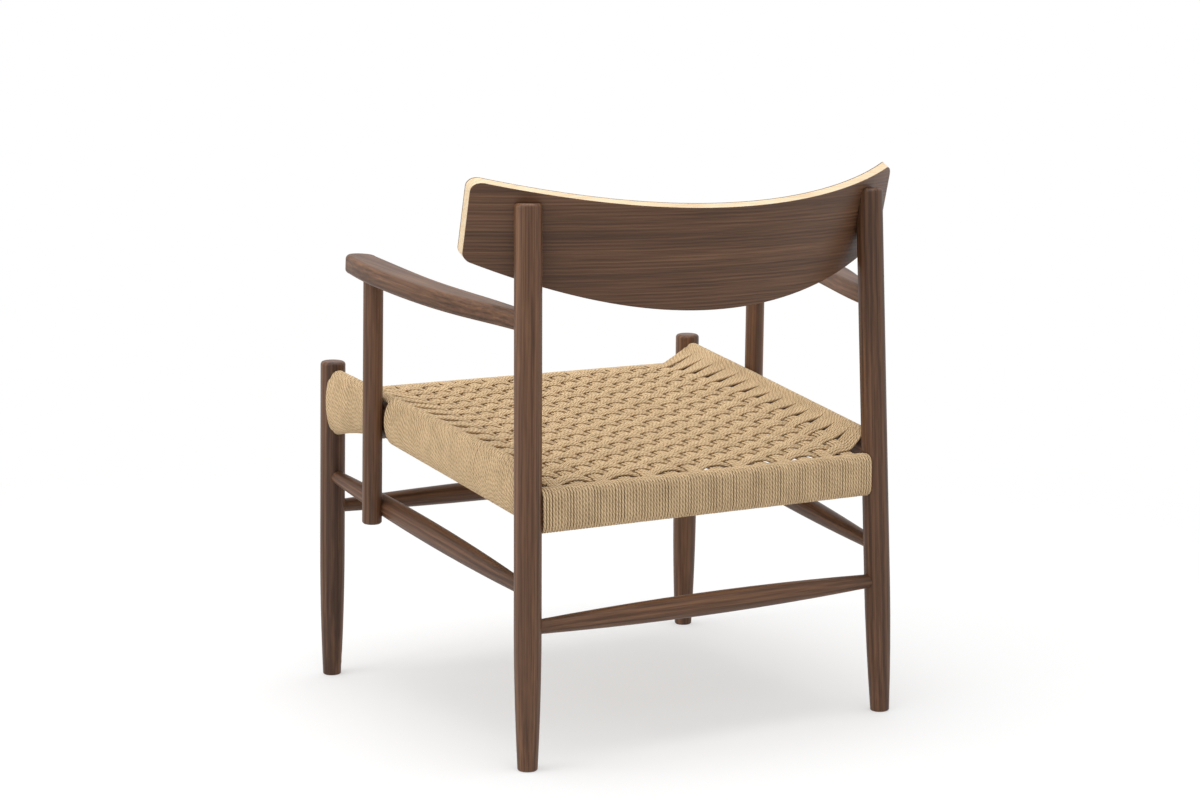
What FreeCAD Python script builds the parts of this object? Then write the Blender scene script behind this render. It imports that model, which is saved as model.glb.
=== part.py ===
"""Wooden armchair with a woven paper-cord seat and a moulded back panel.

Millimetres, +Z up, the chair faces -Y and its left side is +X.  The model is
built from a datum between the two rear feet, and every piece is then moved
together so that the origin is the bottom centre of the whole chair.
"""
import FreeCAD, Part
import math
import os

V = FreeCAD.Vector
LEFT = 1
RIGHT = -1
SIDES = (("left", LEFT), ("right", RIGHT))

# ---------------------------------------------------------------- frame posts
POST_RADIUS = 18.0          # rear posts and front legs, turned
FOOT_RADIUS = 13.2          # radius at the floor
FOOT_CHAMFER = 1.5
TAPER_HEIGHT = 200.0        # the legs taper below this height
TAPER_BULGE = 1.3           # how far the taper bows out at its middle
POST_TOP_ROUND = 5.0

REAR_POST_HEIGHT = 730.0
REAR_FOOT_X = 280.4
REAR_FOOT_Y = 0.0
REAR_TOP_X = 263.6
REAR_TOP_Y = -22.3

FRONT_LEG_HEIGHT = 468.0
FRONT_FOOT_X = 305.4
FRONT_FOOT_Y = -562.8
FRONT_TOP_X = 301.8
FRONT_TOP_Y = -548.4

# ---------------------------------------------------------------- seat rails
GLUE_GAP = 0.1              # glue line round tenons, dowels, coped shoulders and housings
WRAP_TO_POST = 0.5          # the cord wraps stop this far from the posts
CORD = 4.2                  # paper cord diameter
CORD_CLEAR = 0.2            # cord wraps to the wood under them
CROSS_RAIL_HEIGHT = 51.2    # front and rear rails, bare wood
CROSS_RAIL_THICK = 21.0
CROSS_RAIL_ROUND = 6.0
REAR_RAIL_Z = 337.0         # centre height
FRONT_RAIL_Z = 395.0
CROSS_TENON_THICK = 10.0
CROSS_TENON_HEIGHT = 38.0
CROSS_TENON_DEPTH = 20.0
TENON_ROOT = 4.0            # how far a tenon is carried back into its rail

SIDE_RAIL_WIDTH = 27.2      # oval side rails, bare wood
SIDE_REAR_INSET = 5.5       # the side rails stand this far in from the rear post's axis
SIDE_TOP_REAR = 392.6       # top of the wood at the rear post
SIDE_TOP_FRONT = 456.0      # top of the wood at the front leg
SIDE_BOTTOM_REAR = 323.6
SIDE_BOTTOM_FRONT = 400.6
HAUNCH_LENGTH = 140.0       # the rail deepens over this length at the front leg
HAUNCH_DROP = 33.0
HAUNCH_POWER = 1.6
SIDE_TENON_THICK = 10.0
SIDE_TENON_HEIGHT = 40.0
TENON_CLEARANCE = 1.0       # side tenons stop this far from the cross tenons

# ---------------------------------------------------------------- stretchers
STRETCHER_END_RADIUS = 9.6
STRETCHER_MID_RADIUS = 15.5
STRETCHER_SOCKET = 14.0     # how far an end goes into its post
REAR_STRETCHER_Z = 186.0
FRONT_STRETCHER_Z = 253.0
SIDE_STRETCHER_REAR_Z = 234.8
SIDE_STRETCHER_FRONT_Z = 300.5

# ---------------------------------------------------------------- arms
ARM_THICK = 26.0
ARM_ROUND = 6.0
ARM_TOP_AT_DATUM = 590.9    # height of the arm's top plane above the rear feet
ARM_SLOPE = 0.111           # rise towards the front
ARM_REAR_Y = -30.0
ARM_INNER = ((261.0, -30.0), (268.0, -87.0), (281.5, -155.0), (293.0, -225.0),
             (298.5, -300.0), (302.0, -396.0))
ARM_OUTER = ((281.0, -30.0), (296.0, -75.0), (314.0, -125.0), (332.0, -197.0),
             (343.5, -288.0), (346.0, -345.0), (343.0, -404.0))
ARM_NOSE = ((314.0, -420.0), (332.0, -423.0))
ARM_TENON_RADIUS = 7.0
ARM_TENON_DEPTH = 13.0

SUPPORT_RADIUS = 13.8
SUPPORT_FOOT_X = 317.9
SUPPORT_FOOT_Y = -387.0
SUPPORT_FOOT_Z = 259.5
SUPPORT_TOP_X = 315.1
SUPPORT_TOP_Y = -376.1
SUPPORT_TENON_RADIUS = 9.0
SUPPORT_TENON_DEPTH = 16.0
SUPPORT_CHAMFER = 2.0
WRAP_TO_SUPPORT = 1.5       # the cord wraps stop this far from the support

# ---------------------------------------------------------------- back panel
BACK_RADIUS = 543.0         # plan radius of the rear face
BACK_SEATING = 0.3          # the panel is let this far into the fronts of the posts
BACK_LEAN_Z = 680.0         # height at which the panel is let in by that much
BACK_LEAN = 0.28            # backward lean, per unit height
BACK_THICK = 13.0
VENEER = 1.1
BACK_TOP_MID = 718.5        # rear upper edge at the middle
BACK_TOP_RISE = 26.0        # its rise at the posts
BACK_BOTTOM_MID = 582.0     # rear lower edge at the middle
BACK_BOTTOM_RISE = 49.0     # its rise at the posts
BACK_HALF_WIDTH = 326.0
BACK_EDGE_SLOPE = 0.5       # the edges slope up towards the sitter
BACK_TOP_CORNER = 16.0
BACK_BOTTOM_CORNER = 10.0
BACK_POST_NOTCH = 45.0      # depth of the clearing in front of the rear face
SCREW_HEIGHTS = (698.0, 716.0)
SCREW_HEAD_RADIUS = 4.2
SCREW_HEAD_THICK = 3.0
SCREW_SHANK_RADIUS = 2.2
SCREW_LENGTH = 32.0
PLUG_RADIUS = 5.0
PLUG_THICK = 4.0

# ---------------------------------------------------------------- support screws
BRACE_SCREW_RADIUS = 2.0
BRACE_SCREW_HEAD_RADIUS = 3.8
BRACE_SCREW_HEAD_THICK = 2.5
BRACE_SCREW_GRIP = 9.0      # how far a screw goes into the arm support

# ---------------------------------------------------------------- seat
WARP_COUNT = 14
WARP_PITCH = 35.5
SIDE_NAIL_COUNT = 15
SEAT_LAYERS = 2             # cords lie two deep in the weave
SEAT_GAP = 0.3
SEAT_EDGE_DROP = 15.0       # weave edge below the top of the side wraps
SEAT_TOP_DROP = 4.0         # weave below the top of the front and rear wraps
SEAT_FALL = 95.0            # width over which the weave falls from the side rails
NAIL_RADIUS = 0.9
HOOK_RADIUS = 1.1
NAIL_BITE = 9.0             # depth in the rail
NAIL_PROUD = 2.6            # stands out of the wraps
NAIL_HOOK = 6.0
NAIL_BELOW_TOP = 22.0       # below the top of the bare rail
OVERRUN = 60.0              # extra length of cutting tools


# ================================================================ helpers
def axis_point(axis, z):
    """Point of a straight leg axis at height z."""
    foot, top = axis
    share = (z - foot.z) / (top.z - foot.z)
    return foot + (top - foot) * share


def rear_axis(side):
    """Axis of the rear post on one side, foot first."""
    return (V(side * REAR_FOOT_X, REAR_FOOT_Y, 0), V(side * REAR_TOP_X, REAR_TOP_Y, REAR_POST_HEIGHT))


def front_axis(side):
    """Axis of the front leg on one side, foot first."""
    return (V(side * FRONT_FOOT_X, FRONT_FOOT_Y, 0), V(side * FRONT_TOP_X, FRONT_TOP_Y, FRONT_LEG_HEIGHT))


def place_along(shape, start, end):
    """Put a shape that was built along +Z from the origin onto the line start-end."""
    turned = shape.copy()
    turned.Placement = FreeCAD.Placement(start, FreeCAD.Rotation(V(0, 0, 1), end - start))
    return turned


def rod(start, end, radius):
    """Plain round rod between two points."""
    return place_along(Part.makeCylinder(radius, (end - start).Length), start, end)


def revolve_profile(edges):
    """Solid of revolution about Z from open edges that run from axis to axis."""
    face = Part.Face(Part.Wire(Part.__sortEdges__(edges)))
    return face.revolve(V(0, 0, 0), V(0, 0, 1), 360)


def line(a, b):
    """Straight edge."""
    return Part.LineSegment(a, b).toShape()


def smooth_curve(points):
    """Smooth edge through the given points."""
    curve = Part.BSplineCurve()
    curve.interpolate(points)
    return curve.toShape()


def grown_box(x0, x1, y0, y1, z0, z1):
    """Axis-aligned box from its limits."""
    return Part.makeBox(x1 - x0, y1 - y0, z1 - z0, V(x0, y0, z0))


def one_solid(shape):
    """The single largest solid of a boolean result."""
    return max(shape.Solids, key=lambda solid: solid.Volume)


# ================================================================ legs
def turned_leg(axis):
    """Round leg: tapered foot with a small chamfer, parallel shaft, rounded top."""
    foot, top = axis
    length = (top - foot).Length
    shaft_end = length - POST_TOP_ROUND
    corner = POST_TOP_ROUND * (1 - math.sqrt(0.5))
    taper_mid = V((FOOT_RADIUS + POST_RADIUS) / 2 + TAPER_BULGE, 0, TAPER_HEIGHT / 2)
    edges = [
        line(V(0, 0, 0), V(FOOT_RADIUS - FOOT_CHAMFER, 0, 0)),
        line(V(FOOT_RADIUS - FOOT_CHAMFER, 0, 0), V(FOOT_RADIUS, 0, FOOT_CHAMFER)),
        Part.Arc(V(FOOT_RADIUS, 0, FOOT_CHAMFER), taper_mid, V(POST_RADIUS, 0, TAPER_HEIGHT)).toShape(),
        line(V(POST_RADIUS, 0, TAPER_HEIGHT), V(POST_RADIUS, 0, shaft_end)),
        Part.Arc(V(POST_RADIUS, 0, shaft_end), V(POST_RADIUS - corner, 0, length - corner),
                 V(POST_RADIUS - POST_TOP_ROUND, 0, length)).toShape(),
        line(V(POST_RADIUS - POST_TOP_ROUND, 0, length), V(0, 0, length)),
        line(V(0, 0, length), V(0, 0, 0)),
    ]
    leg = place_along(revolve_profile(edges), foot, top)
    # the lean lifts one edge of the foot, so the foot is trimmed flat to the floor
    below = grown_box(-2 * REAR_FOOT_X, 2 * REAR_FOOT_X, FRONT_FOOT_Y - OVERRUN, OVERRUN, -OVERRUN, 0)
    return one_solid(leg.cut(below))


# ================================================================ front and rear rails
def cross_rail_ends(axis_of, z):
    """The two points where a cross rail meets the leg axes, left first."""
    return axis_point(axis_of(LEFT), z), axis_point(axis_of(RIGHT), z)


def rounded_bar(centre, half_length, thick, height, rounding):
    """Bar along X with rounded long edges."""
    bar = grown_box(centre.x - half_length, centre.x + half_length,
                    centre.y - thick / 2, centre.y + thick / 2,
                    centre.z - height / 2, centre.z + height / 2)
    long_edges = [edge for edge in bar.Edges if abs(edge.Length - 2 * half_length) < 0.01]
    return bar.makeFillet(rounding, long_edges)


def leg_cutters(axis_of, clearance):
    """Both legs of one kind as plain rods, grown by a clearance."""
    return [rod(*axis_of(side), POST_RADIUS + clearance) for name, side in SIDES]


def coped(bar, cutters):
    """Bar cut to fit round its posts, keeping the stretch between them."""
    for cutter in cutters:
        bar = one_solid(bar.cut(cutter))
    return bar


def cross_tenon(end, side, grow=0.0):
    """Tenon of a cross rail in the leg on one side, grown for its mortise."""
    shoulder = side * (abs(end.x) - POST_RADIUS)
    tip = shoulder + side * (CROSS_TENON_DEPTH + grow)
    shoulder -= side * TENON_ROOT
    low, high = min(shoulder, tip), max(shoulder, tip)
    half_thick = CROSS_TENON_THICK / 2 + grow
    half_height = CROSS_TENON_HEIGHT / 2 + grow
    return grown_box(low, high, end.y - half_thick, end.y + half_thick,
                     end.z - half_height, end.z + half_height)


def cross_rail(axis_of, z):
    """Front or rear seat rail with a tenon at each end."""
    rail = coped(wrapped_bar(axis_of, z, 0.0), leg_cutters(axis_of, GLUE_GAP))
    for end, side in zip(cross_rail_ends(axis_of, z), (LEFT, RIGHT)):
        rail = rail.fuse(cross_tenon(end, side))
    return rail.removeSplitter()


def wrapped_bar(axis_of, z, extra):
    """Cross rail body grown by extra, from leg axis to leg axis."""
    left_end, right_end = cross_rail_ends(axis_of, z)
    centre = (left_end + right_end) * 0.5
    return rounded_bar(centre, left_end.x, CROSS_RAIL_THICK + 2 * extra, CROSS_RAIL_HEIGHT + 2 * extra,
                       CROSS_RAIL_ROUND + extra)


def cross_wrap(axis_of, z):
    """Sleeve of cord round a cross rail, from leg to leg."""
    sleeve = wrapped_bar(axis_of, z, CORD + CORD_CLEAR).cut(wrapped_bar(axis_of, z, CORD_CLEAR))
    return coped(sleeve, leg_cutters(axis_of, WRAP_TO_POST))


# ================================================================ side rails
def side_rail_span():
    """Depth coordinates of the side rail's rear and front shoulders."""
    rear = axis_point(rear_axis(LEFT), (SIDE_TOP_REAR + SIDE_BOTTOM_REAR) / 2)
    front = axis_point(front_axis(LEFT), (SIDE_TOP_FRONT + SIDE_BOTTOM_FRONT) / 2)
    return rear.y - POST_RADIUS, front.y + POST_RADIUS


def side_rail_share(y):
    """0 at the rear post's axis, 1 at the front leg's axis."""
    rear, front = side_rail_span()
    return (rear + POST_RADIUS - y) / (rear - front + 2 * POST_RADIUS)


def side_rail_x(y):
    """Distance of the side rail's centre line from the middle of the chair."""
    rear = axis_point(rear_axis(LEFT), (SIDE_TOP_REAR + SIDE_BOTTOM_REAR) / 2)
    front = axis_point(front_axis(LEFT), (SIDE_TOP_FRONT + SIDE_BOTTOM_FRONT) / 2)
    rear_x = rear.x - SIDE_REAR_INSET
    return rear_x + (front.x - rear_x) * side_rail_share(y)


def side_rail_top(y):
    """Top of the bare side rail."""
    return SIDE_TOP_REAR + (SIDE_TOP_FRONT - SIDE_TOP_REAR) * side_rail_share(y)


def side_rail_bottom(y):
    """Underside of the bare side rail, with the haunch at the front leg."""
    straight = SIDE_BOTTOM_REAR + (SIDE_BOTTOM_FRONT - SIDE_BOTTOM_REAR) * side_rail_share(y)
    haunch_start = side_rail_span()[1] + HAUNCH_LENGTH
    along = max(0.0, (haunch_start - y) / HAUNCH_LENGTH)
    return straight - HAUNCH_DROP * along ** HAUNCH_POWER


def oval_section(side, y, extra):
    """Upright oval section of the side rail at depth y, grown by extra."""
    centre_z = (side_rail_top(y) + side_rail_bottom(y)) / 2
    half_height = (side_rail_top(y) - side_rail_bottom(y)) / 2 + extra
    half_width = SIDE_RAIL_WIDTH / 2 + extra
    x = side * side_rail_x(y)
    oval = Part.Ellipse(V(x, y, centre_z + half_height), V(x + half_width, y, centre_z), V(x, y, centre_z))
    return Part.Wire([oval.toShape()])


def oval_bar(side, extra, stations=9):
    """Side rail body from post axis to leg axis, grown by extra."""
    rear, front = side_rail_span()
    rear += POST_RADIUS
    step = (front - POST_RADIUS - rear) / (stations - 1)
    sections = [oval_section(side, rear + step * index, extra) for index in range(stations)]
    return Part.makeLoft(sections, True, False)


def side_cutters(side, clearance):
    """Post, leg and wrapped cross rails as plain solids, grown by a clearance."""
    cutters = [rod(*axis, POST_RADIUS + clearance) for axis in (rear_axis(side), front_axis(side))]
    cutters.append(wrapped_bar(front_axis, FRONT_RAIL_Z, CORD + CORD_CLEAR + clearance))
    cutters.append(wrapped_bar(rear_axis, REAR_RAIL_Z, CORD + CORD_CLEAR + clearance))
    return cutters


def side_tenon(side, end, grow=0.0):
    """Tenon of a side rail at its rear (end 0) or front (end 1) shoulder."""
    shoulder = side_rail_span()[end]
    inwards = 1 if end == 0 else -1
    depth = POST_RADIUS - CROSS_TENON_THICK / 2 - TENON_CLEARANCE + grow
    tip = shoulder + inwards * depth
    root = shoulder - inwards * TENON_ROOT
    centre_z = (side_rail_top(shoulder) + side_rail_bottom(shoulder)) / 2
    x = side * side_rail_x(shoulder)
    half_thick = SIDE_TENON_THICK / 2 + grow
    half_height = SIDE_TENON_HEIGHT / 2 + grow
    return grown_box(x - half_thick, x + half_thick, min(root, tip), max(root, tip),
                     centre_z - half_height, centre_z + half_height)


def side_rail(side):
    """Oval side rail with a tenon at each end."""
    rail = coped(oval_bar(side, 0.0), side_cutters(side, GLUE_GAP))
    for end in (0, 1):
        rail = rail.fuse(side_tenon(side, end))
    return one_solid(rail)


def support_y_at_rail():
    """Depth of the arm support where it passes the side rail."""
    middle = (side_rail_top(SUPPORT_FOOT_Y) + side_rail_bottom(SUPPORT_FOOT_Y)) / 2
    return axis_point(support_axis(LEFT), middle).y


def side_wrap(side, part):
    """Sleeve of cord round a side rail, behind (rear) or ahead of (front) the arm support."""
    rear, front = side_rail_span()
    rear += POST_RADIUS
    front -= POST_RADIUS
    stop = SUPPORT_RADIUS + WRAP_TO_SUPPORT
    if part == "rear":
        front = support_y_at_rail() + stop
    else:
        rear = support_y_at_rail() - stop
    sleeve = oval_bar(side, CORD + CORD_CLEAR).cut(oval_bar(side, CORD_CLEAR))
    reach = 2 * FRONT_FOOT_X
    stretch = grown_box(-reach, reach, front, rear, 0, REAR_POST_HEIGHT)
    return coped(sleeve.common(stretch), side_cutters(side, WRAP_TO_POST))


# ================================================================ stretchers
def turned_stretcher(start, end):
    """Round stretcher, thickest at mid-length, with its ends socketed in the legs."""
    length = (end - start).Length
    tip = POST_RADIUS - STRETCHER_SOCKET
    edges = [
        line(V(0, 0, tip), V(STRETCHER_END_RADIUS, 0, tip)),
        line(V(STRETCHER_END_RADIUS, 0, tip), V(STRETCHER_END_RADIUS, 0, POST_RADIUS)),
        Part.Arc(V(STRETCHER_END_RADIUS, 0, POST_RADIUS), V(STRETCHER_MID_RADIUS, 0, length / 2),
                 V(STRETCHER_END_RADIUS, 0, length - POST_RADIUS)).toShape(),
        line(V(STRETCHER_END_RADIUS, 0, length - POST_RADIUS), V(STRETCHER_END_RADIUS, 0, length - tip)),
        line(V(STRETCHER_END_RADIUS, 0, length - tip), V(0, 0, length - tip)),
        line(V(0, 0, length - tip), V(0, 0, tip)),
    ]
    return place_along(revolve_profile(edges), start, end)


def stretcher_socket(at, towards):
    """Hole in a leg for a stretcher that runs from this leg towards another point."""
    direction = (towards - at).normalize()
    bottom = at + direction * (POST_RADIUS - STRETCHER_SOCKET - GLUE_GAP)
    mouth = at + direction * (POST_RADIUS + FOOT_RADIUS)
    return rod(bottom, mouth, STRETCHER_END_RADIUS + GLUE_GAP)


def stretcher_lines():
    """Name, start and end of the four stretchers, on the leg axes."""
    lines = [
        ("rear_stretcher", axis_point(rear_axis(LEFT), REAR_STRETCHER_Z),
         axis_point(rear_axis(RIGHT), REAR_STRETCHER_Z)),
        ("front_stretcher", axis_point(front_axis(LEFT), FRONT_STRETCHER_Z),
         axis_point(front_axis(RIGHT), FRONT_STRETCHER_Z)),
    ]
    for name, side in SIDES:
        lines.append(("side_stretcher_" + name, axis_point(rear_axis(side), SIDE_STRETCHER_REAR_Z),
                      axis_point(front_axis(side), SIDE_STRETCHER_FRONT_Z)))
    return lines


# ================================================================ arms and their supports
def arm_top(y):
    """Height of the arm's top face at depth y."""
    return ARM_TOP_AT_DATUM - ARM_SLOPE * y


def arm_blank(side):
    """Paddle-shaped arm, wide at the front and narrow at the rear post, before its holes."""
    inner = [V(side * x, y, 0) for x, y in ARM_INNER]
    outer = [V(side * x, y, 0) for x, y in ARM_OUTER]
    nose = [V(side * x, y, 0) for x, y in ARM_NOSE]
    outline = Part.Wire([
        smooth_curve(inner),
        smooth_curve([inner[-1]] + nose + [outer[-1]]),
        smooth_curve(outer[::-1]),
        line(outer[0], inner[0]),
    ])
    rise = V(0, 0, ARM_THICK)
    slab = Part.Face(outline).extrude(rise)
    flat_edges = [edge for edge in slab.Edges
                  if edge.BoundBox.ZLength < 0.01 and edge.BoundBox.YMin < ARM_REAR_Y - 1]
    slab = slab.makeFillet(ARM_ROUND, flat_edges)
    slab.rotate(V(0, 0, 0), V(1, 0, 0), -math.degrees(math.atan(ARM_SLOPE)))
    slab.translate(V(0, 0, ARM_TOP_AT_DATUM - ARM_THICK * math.sqrt(1 + ARM_SLOPE ** 2)))
    return slab


def arm_tenon_line(side):
    """Start inside the arm and end inside the post of the arm's round tenon."""
    middle = (arm_top(ARM_REAR_Y) - ARM_THICK / 2)
    centre = axis_point(rear_axis(side), middle)
    arm_x = side * (ARM_INNER[0][0] + ARM_OUTER[0][0]) / 2
    start = V(arm_x, centre.y - POST_RADIUS - ARM_TENON_DEPTH,
              middle + ARM_SLOPE * (POST_RADIUS + ARM_TENON_DEPTH))
    direction = (centre - start).normalize()
    end = centre - direction * (POST_RADIUS - ARM_TENON_DEPTH)
    return start, end


def arm(side):
    """Arm coped round the rear post, with its tenon and the hole for its support."""
    post = rod(*rear_axis(side), POST_RADIUS + GLUE_GAP)
    body = one_solid(arm_blank(side).cut(post))
    start, end = arm_tenon_line(side)
    body = body.fuse(rod(start, end, ARM_TENON_RADIUS))
    return one_solid(body.cut(support_tenon(side, GLUE_GAP)))


def support_axis(side):
    """Axis of the arm support, foot first, top inside the arm."""
    foot = V(side * SUPPORT_FOOT_X, SUPPORT_FOOT_Y, SUPPORT_FOOT_Z)
    top = V(side * SUPPORT_TOP_X, SUPPORT_TOP_Y, arm_top(SUPPORT_TOP_Y) - ARM_THICK / 2)
    return foot, top


def support_tenon(side, grow=0.0):
    """Round tenon of the arm support inside the arm."""
    foot, top = support_axis(side)
    direction = (top - foot).normalize()
    root = top - direction * ARM_THICK
    tip = top + direction * (SUPPORT_TENON_DEPTH - ARM_THICK / 2 + grow)
    return rod(root, tip, SUPPORT_TENON_RADIUS + grow)


def arm_support(side):
    """Round support from under the arm to the side stretcher, housed on rail and stretcher."""
    foot, top = support_axis(side)
    body = Part.makeCylinder(SUPPORT_RADIUS, (top - foot).Length)
    foot_rim = [edge for edge in body.Edges if edge.BoundBox.ZMax < 0.01]
    body = place_along(body.makeChamfer(SUPPORT_CHAMFER, foot_rim), foot, top)
    body = one_solid(body.cut(arm_blank(side)))
    body = body.cut(oval_bar(side, GLUE_GAP))
    body = body.cut(side_stretcher_blank(side, GLUE_GAP))
    return one_solid(body.fuse(support_tenon(side)))


def side_stretcher_blank(side, grow):
    """The side stretcher grown all round, as the cutter of the support's housing."""
    start = axis_point(rear_axis(side), SIDE_STRETCHER_REAR_Z)
    end = axis_point(front_axis(side), SIDE_STRETCHER_FRONT_Z)
    length = (end - start).Length
    edges = [
        line(V(0, 0, 0), V(STRETCHER_END_RADIUS + grow, 0, 0)),
        Part.Arc(V(STRETCHER_END_RADIUS + grow, 0, 0), V(STRETCHER_MID_RADIUS + grow, 0, length / 2),
                 V(STRETCHER_END_RADIUS + grow, 0, length)).toShape(),
        line(V(STRETCHER_END_RADIUS + grow, 0, length), V(0, 0, length)),
        line(V(0, 0, length), V(0, 0, 0)),
    ]
    return place_along(revolve_profile(edges), start, end)


# ================================================================ back panel
def back_contact():
    """Point of the left post's axis at the height where the panel leans on it."""
    return axis_point(rear_axis(LEFT), BACK_LEAN_Z)


def back_rear_y(x):
    """Plan position of the panel's rear face at the lean height."""
    contact = back_contact()
    sag = BACK_RADIUS - math.sqrt(BACK_RADIUS ** 2 - contact.x ** 2)
    middle = contact.y - POST_RADIUS + BACK_SEATING + sag
    return middle - BACK_RADIUS + math.sqrt(BACK_RADIUS ** 2 - x ** 2)


def back_edge_z(x, middle, rise):
    """Height of the panel's rear upper or lower edge, brought to the cutting plane."""
    z = middle + rise * (x / back_contact().x) ** 2
    y = back_rear_y(x) + BACK_LEAN * (z - BACK_LEAN_Z)
    return z + BACK_EDGE_SLOPE * y


def back_outline_prism():
    """Prism that trims the panel to its outline, with edges sloping up to the sitter."""
    steps = 8
    widths = [BACK_HALF_WIDTH * (2 * index / steps - 1) for index in range(steps + 1)]
    upper = [V(x, 0, back_edge_z(x, BACK_TOP_MID, BACK_TOP_RISE)) for x in widths]
    lower = [V(x, 0, back_edge_z(x, BACK_BOTTOM_MID, BACK_BOTTOM_RISE)) for x in widths]
    face = Part.Face(Part.Wire([
        smooth_curve(lower),
        line(lower[-1], upper[-1]),
        smooth_curve(upper[::-1]),
        line(upper[0], lower[0]),
    ]))
    reach = 4 * BACK_HALF_WIDTH
    start = V(0, reach / 2, -BACK_EDGE_SLOPE * reach / 2)
    face.translate(start)
    prism = face.extrude(V(0, -reach, BACK_EDGE_SLOPE * reach))
    rims = []
    for corner_x in (-BACK_HALF_WIDTH, BACK_HALF_WIDTH):
        rims += [edge for edge in prism.Edges
                 if abs(edge.BoundBox.XMin - corner_x) < 0.01 and edge.BoundBox.XLength < 0.01
                 and edge.BoundBox.YLength > reach / 2]
    middle_z = (back_edge_z(BACK_HALF_WIDTH, BACK_TOP_MID, BACK_TOP_RISE)
                + back_edge_z(BACK_HALF_WIDTH, BACK_BOTTOM_MID, BACK_BOTTOM_RISE)) / 2
    top_rims = [edge for edge in rims if edge.CenterOfMass.z > middle_z]
    bottom_rims = [edge for edge in rims if edge.CenterOfMass.z <= middle_z]
    prism = prism.makeFillet(BACK_TOP_CORNER, top_rims)
    bottom_rims = [edge for edge in prism.Edges
                   if any(edge.CenterOfMass.distanceToPoint(old.CenterOfMass) < 1.0 for old in bottom_rims)
                   and edge.BoundBox.YLength > reach / 2]
    return prism.makeFillet(BACK_BOTTOM_CORNER, bottom_rims)


def back_layer(prism, start, end):
    """Layer of the panel between two depths measured forward from its rear face."""
    half = BACK_HALF_WIDTH + OVERRUN
    centre_y = back_rear_y(0) - BACK_RADIUS
    low = BACK_BOTTOM_MID - OVERRUN
    tall = BACK_TOP_MID + BACK_TOP_RISE - BACK_BOTTOM_MID + 3 * OVERRUN
    shift = BACK_LEAN * (low - BACK_LEAN_Z)

    def arc_point(radius, share):
        angle = math.asin(half / BACK_RADIUS) * share
        return V(radius * math.sin(angle), centre_y + shift + radius * math.cos(angle), low)

    rear = BACK_RADIUS - start
    front = BACK_RADIUS - end
    face = Part.Face(Part.Wire([
        Part.Arc(arc_point(rear, -1), arc_point(rear, 0), arc_point(rear, 1)).toShape(),
        line(arc_point(rear, 1), arc_point(front, 1)),
        Part.Arc(arc_point(front, 1), arc_point(front, 0), arc_point(front, -1)).toShape(),
        line(arc_point(front, -1), arc_point(rear, -1)),
    ]))
    return one_solid(face.extrude(V(0, BACK_LEAN * tall, tall)).common(prism))


def screw_places():
    """Front-face start points of the back screws, which run straight back."""
    places = []
    for name, side in SIDES:
        for z in SCREW_HEIGHTS:
            x = axis_point(rear_axis(side), z).x
            front_radius = BACK_RADIUS - BACK_THICK
            centre_y = back_rear_y(0) - BACK_RADIUS
            y = centre_y + math.sqrt(front_radius ** 2 - x ** 2) + BACK_LEAN * (z - BACK_LEAN_Z)
            places.append(V(x, y, z))
    return places


def back_screw(place, grow=0.0):
    """Wood screw under its plug, head towards the sitter."""
    head_start = place + V(0, PLUG_THICK, 0)
    head_end = head_start + V(0, SCREW_HEAD_THICK + grow, 0)
    tip = head_start + V(0, SCREW_LENGTH + grow, 0)
    head = rod(head_start, head_end, SCREW_HEAD_RADIUS + grow)
    return head.fuse(rod(head_start, tip, SCREW_SHANK_RADIUS + grow)).removeSplitter()


def plug_bore(place, grow=0.0):
    """Round wooden plug over a screw head, before it is trimmed flush."""
    return rod(place - V(0, PLUG_THICK, 0), place + V(0, PLUG_THICK - GLUE_GAP + grow, 0), PLUG_RADIUS + grow)


# ================================================================ support screws
def brace_screw_lines(side):
    """Start and end of the screws that hold an arm support to its rail and stretcher."""
    rail_z = (side_rail_top(SUPPORT_FOOT_Y) + side_rail_bottom(SUPPORT_FOOT_Y)) / 2
    centre = axis_point(support_axis(side), rail_z)
    rail_inner = side * (side_rail_x(centre.y) - SIDE_RAIL_WIDTH / 2 + BRACE_SCREW_HEAD_THICK)
    start = axis_point(rear_axis(side), SIDE_STRETCHER_REAR_Z)
    end = axis_point(front_axis(side), SIDE_STRETCHER_FRONT_Z)
    low = axis_point(support_axis(side), SUPPORT_FOOT_Z + SUPPORT_RADIUS)
    share = (low.y - start.y) / (end.y - start.y)
    stretcher = start + (end - start) * share
    low = axis_point(support_axis(side), stretcher.z)
    stretcher_inner = stretcher.x - side * (STRETCHER_MID_RADIUS - 2 * BRACE_SCREW_HEAD_THICK)
    lines = []
    for point, x in ((centre, rail_inner), (low, stretcher_inner)):
        tip = V(point.x - side * (SUPPORT_RADIUS - 2 * BRACE_SCREW_GRIP), point.y, point.z)
        lines.append((V(x, point.y, point.z), tip))
    return lines


def brace_screw(start, end, grow=0.0):
    """Flat-headed screw from start to end, its head sunk below the surface."""
    direction = (end - start).normalize()
    head_end = start + direction * (BRACE_SCREW_HEAD_THICK + grow)
    head = rod(start, head_end, BRACE_SCREW_HEAD_RADIUS + grow)
    shank = rod(start, end + direction * grow, BRACE_SCREW_RADIUS + grow)
    return head.fuse(shank).removeSplitter()


def brace_screw_bore(start, end):
    """Hole for a brace screw, with the sinking for its head."""
    direction = (end - start).normalize()
    sink = rod(start - direction * SUPPORT_RADIUS, start + direction * GLUE_GAP,
               BRACE_SCREW_HEAD_RADIUS + GLUE_GAP)
    return brace_screw(start, end, GLUE_GAP).fuse(sink)


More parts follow.
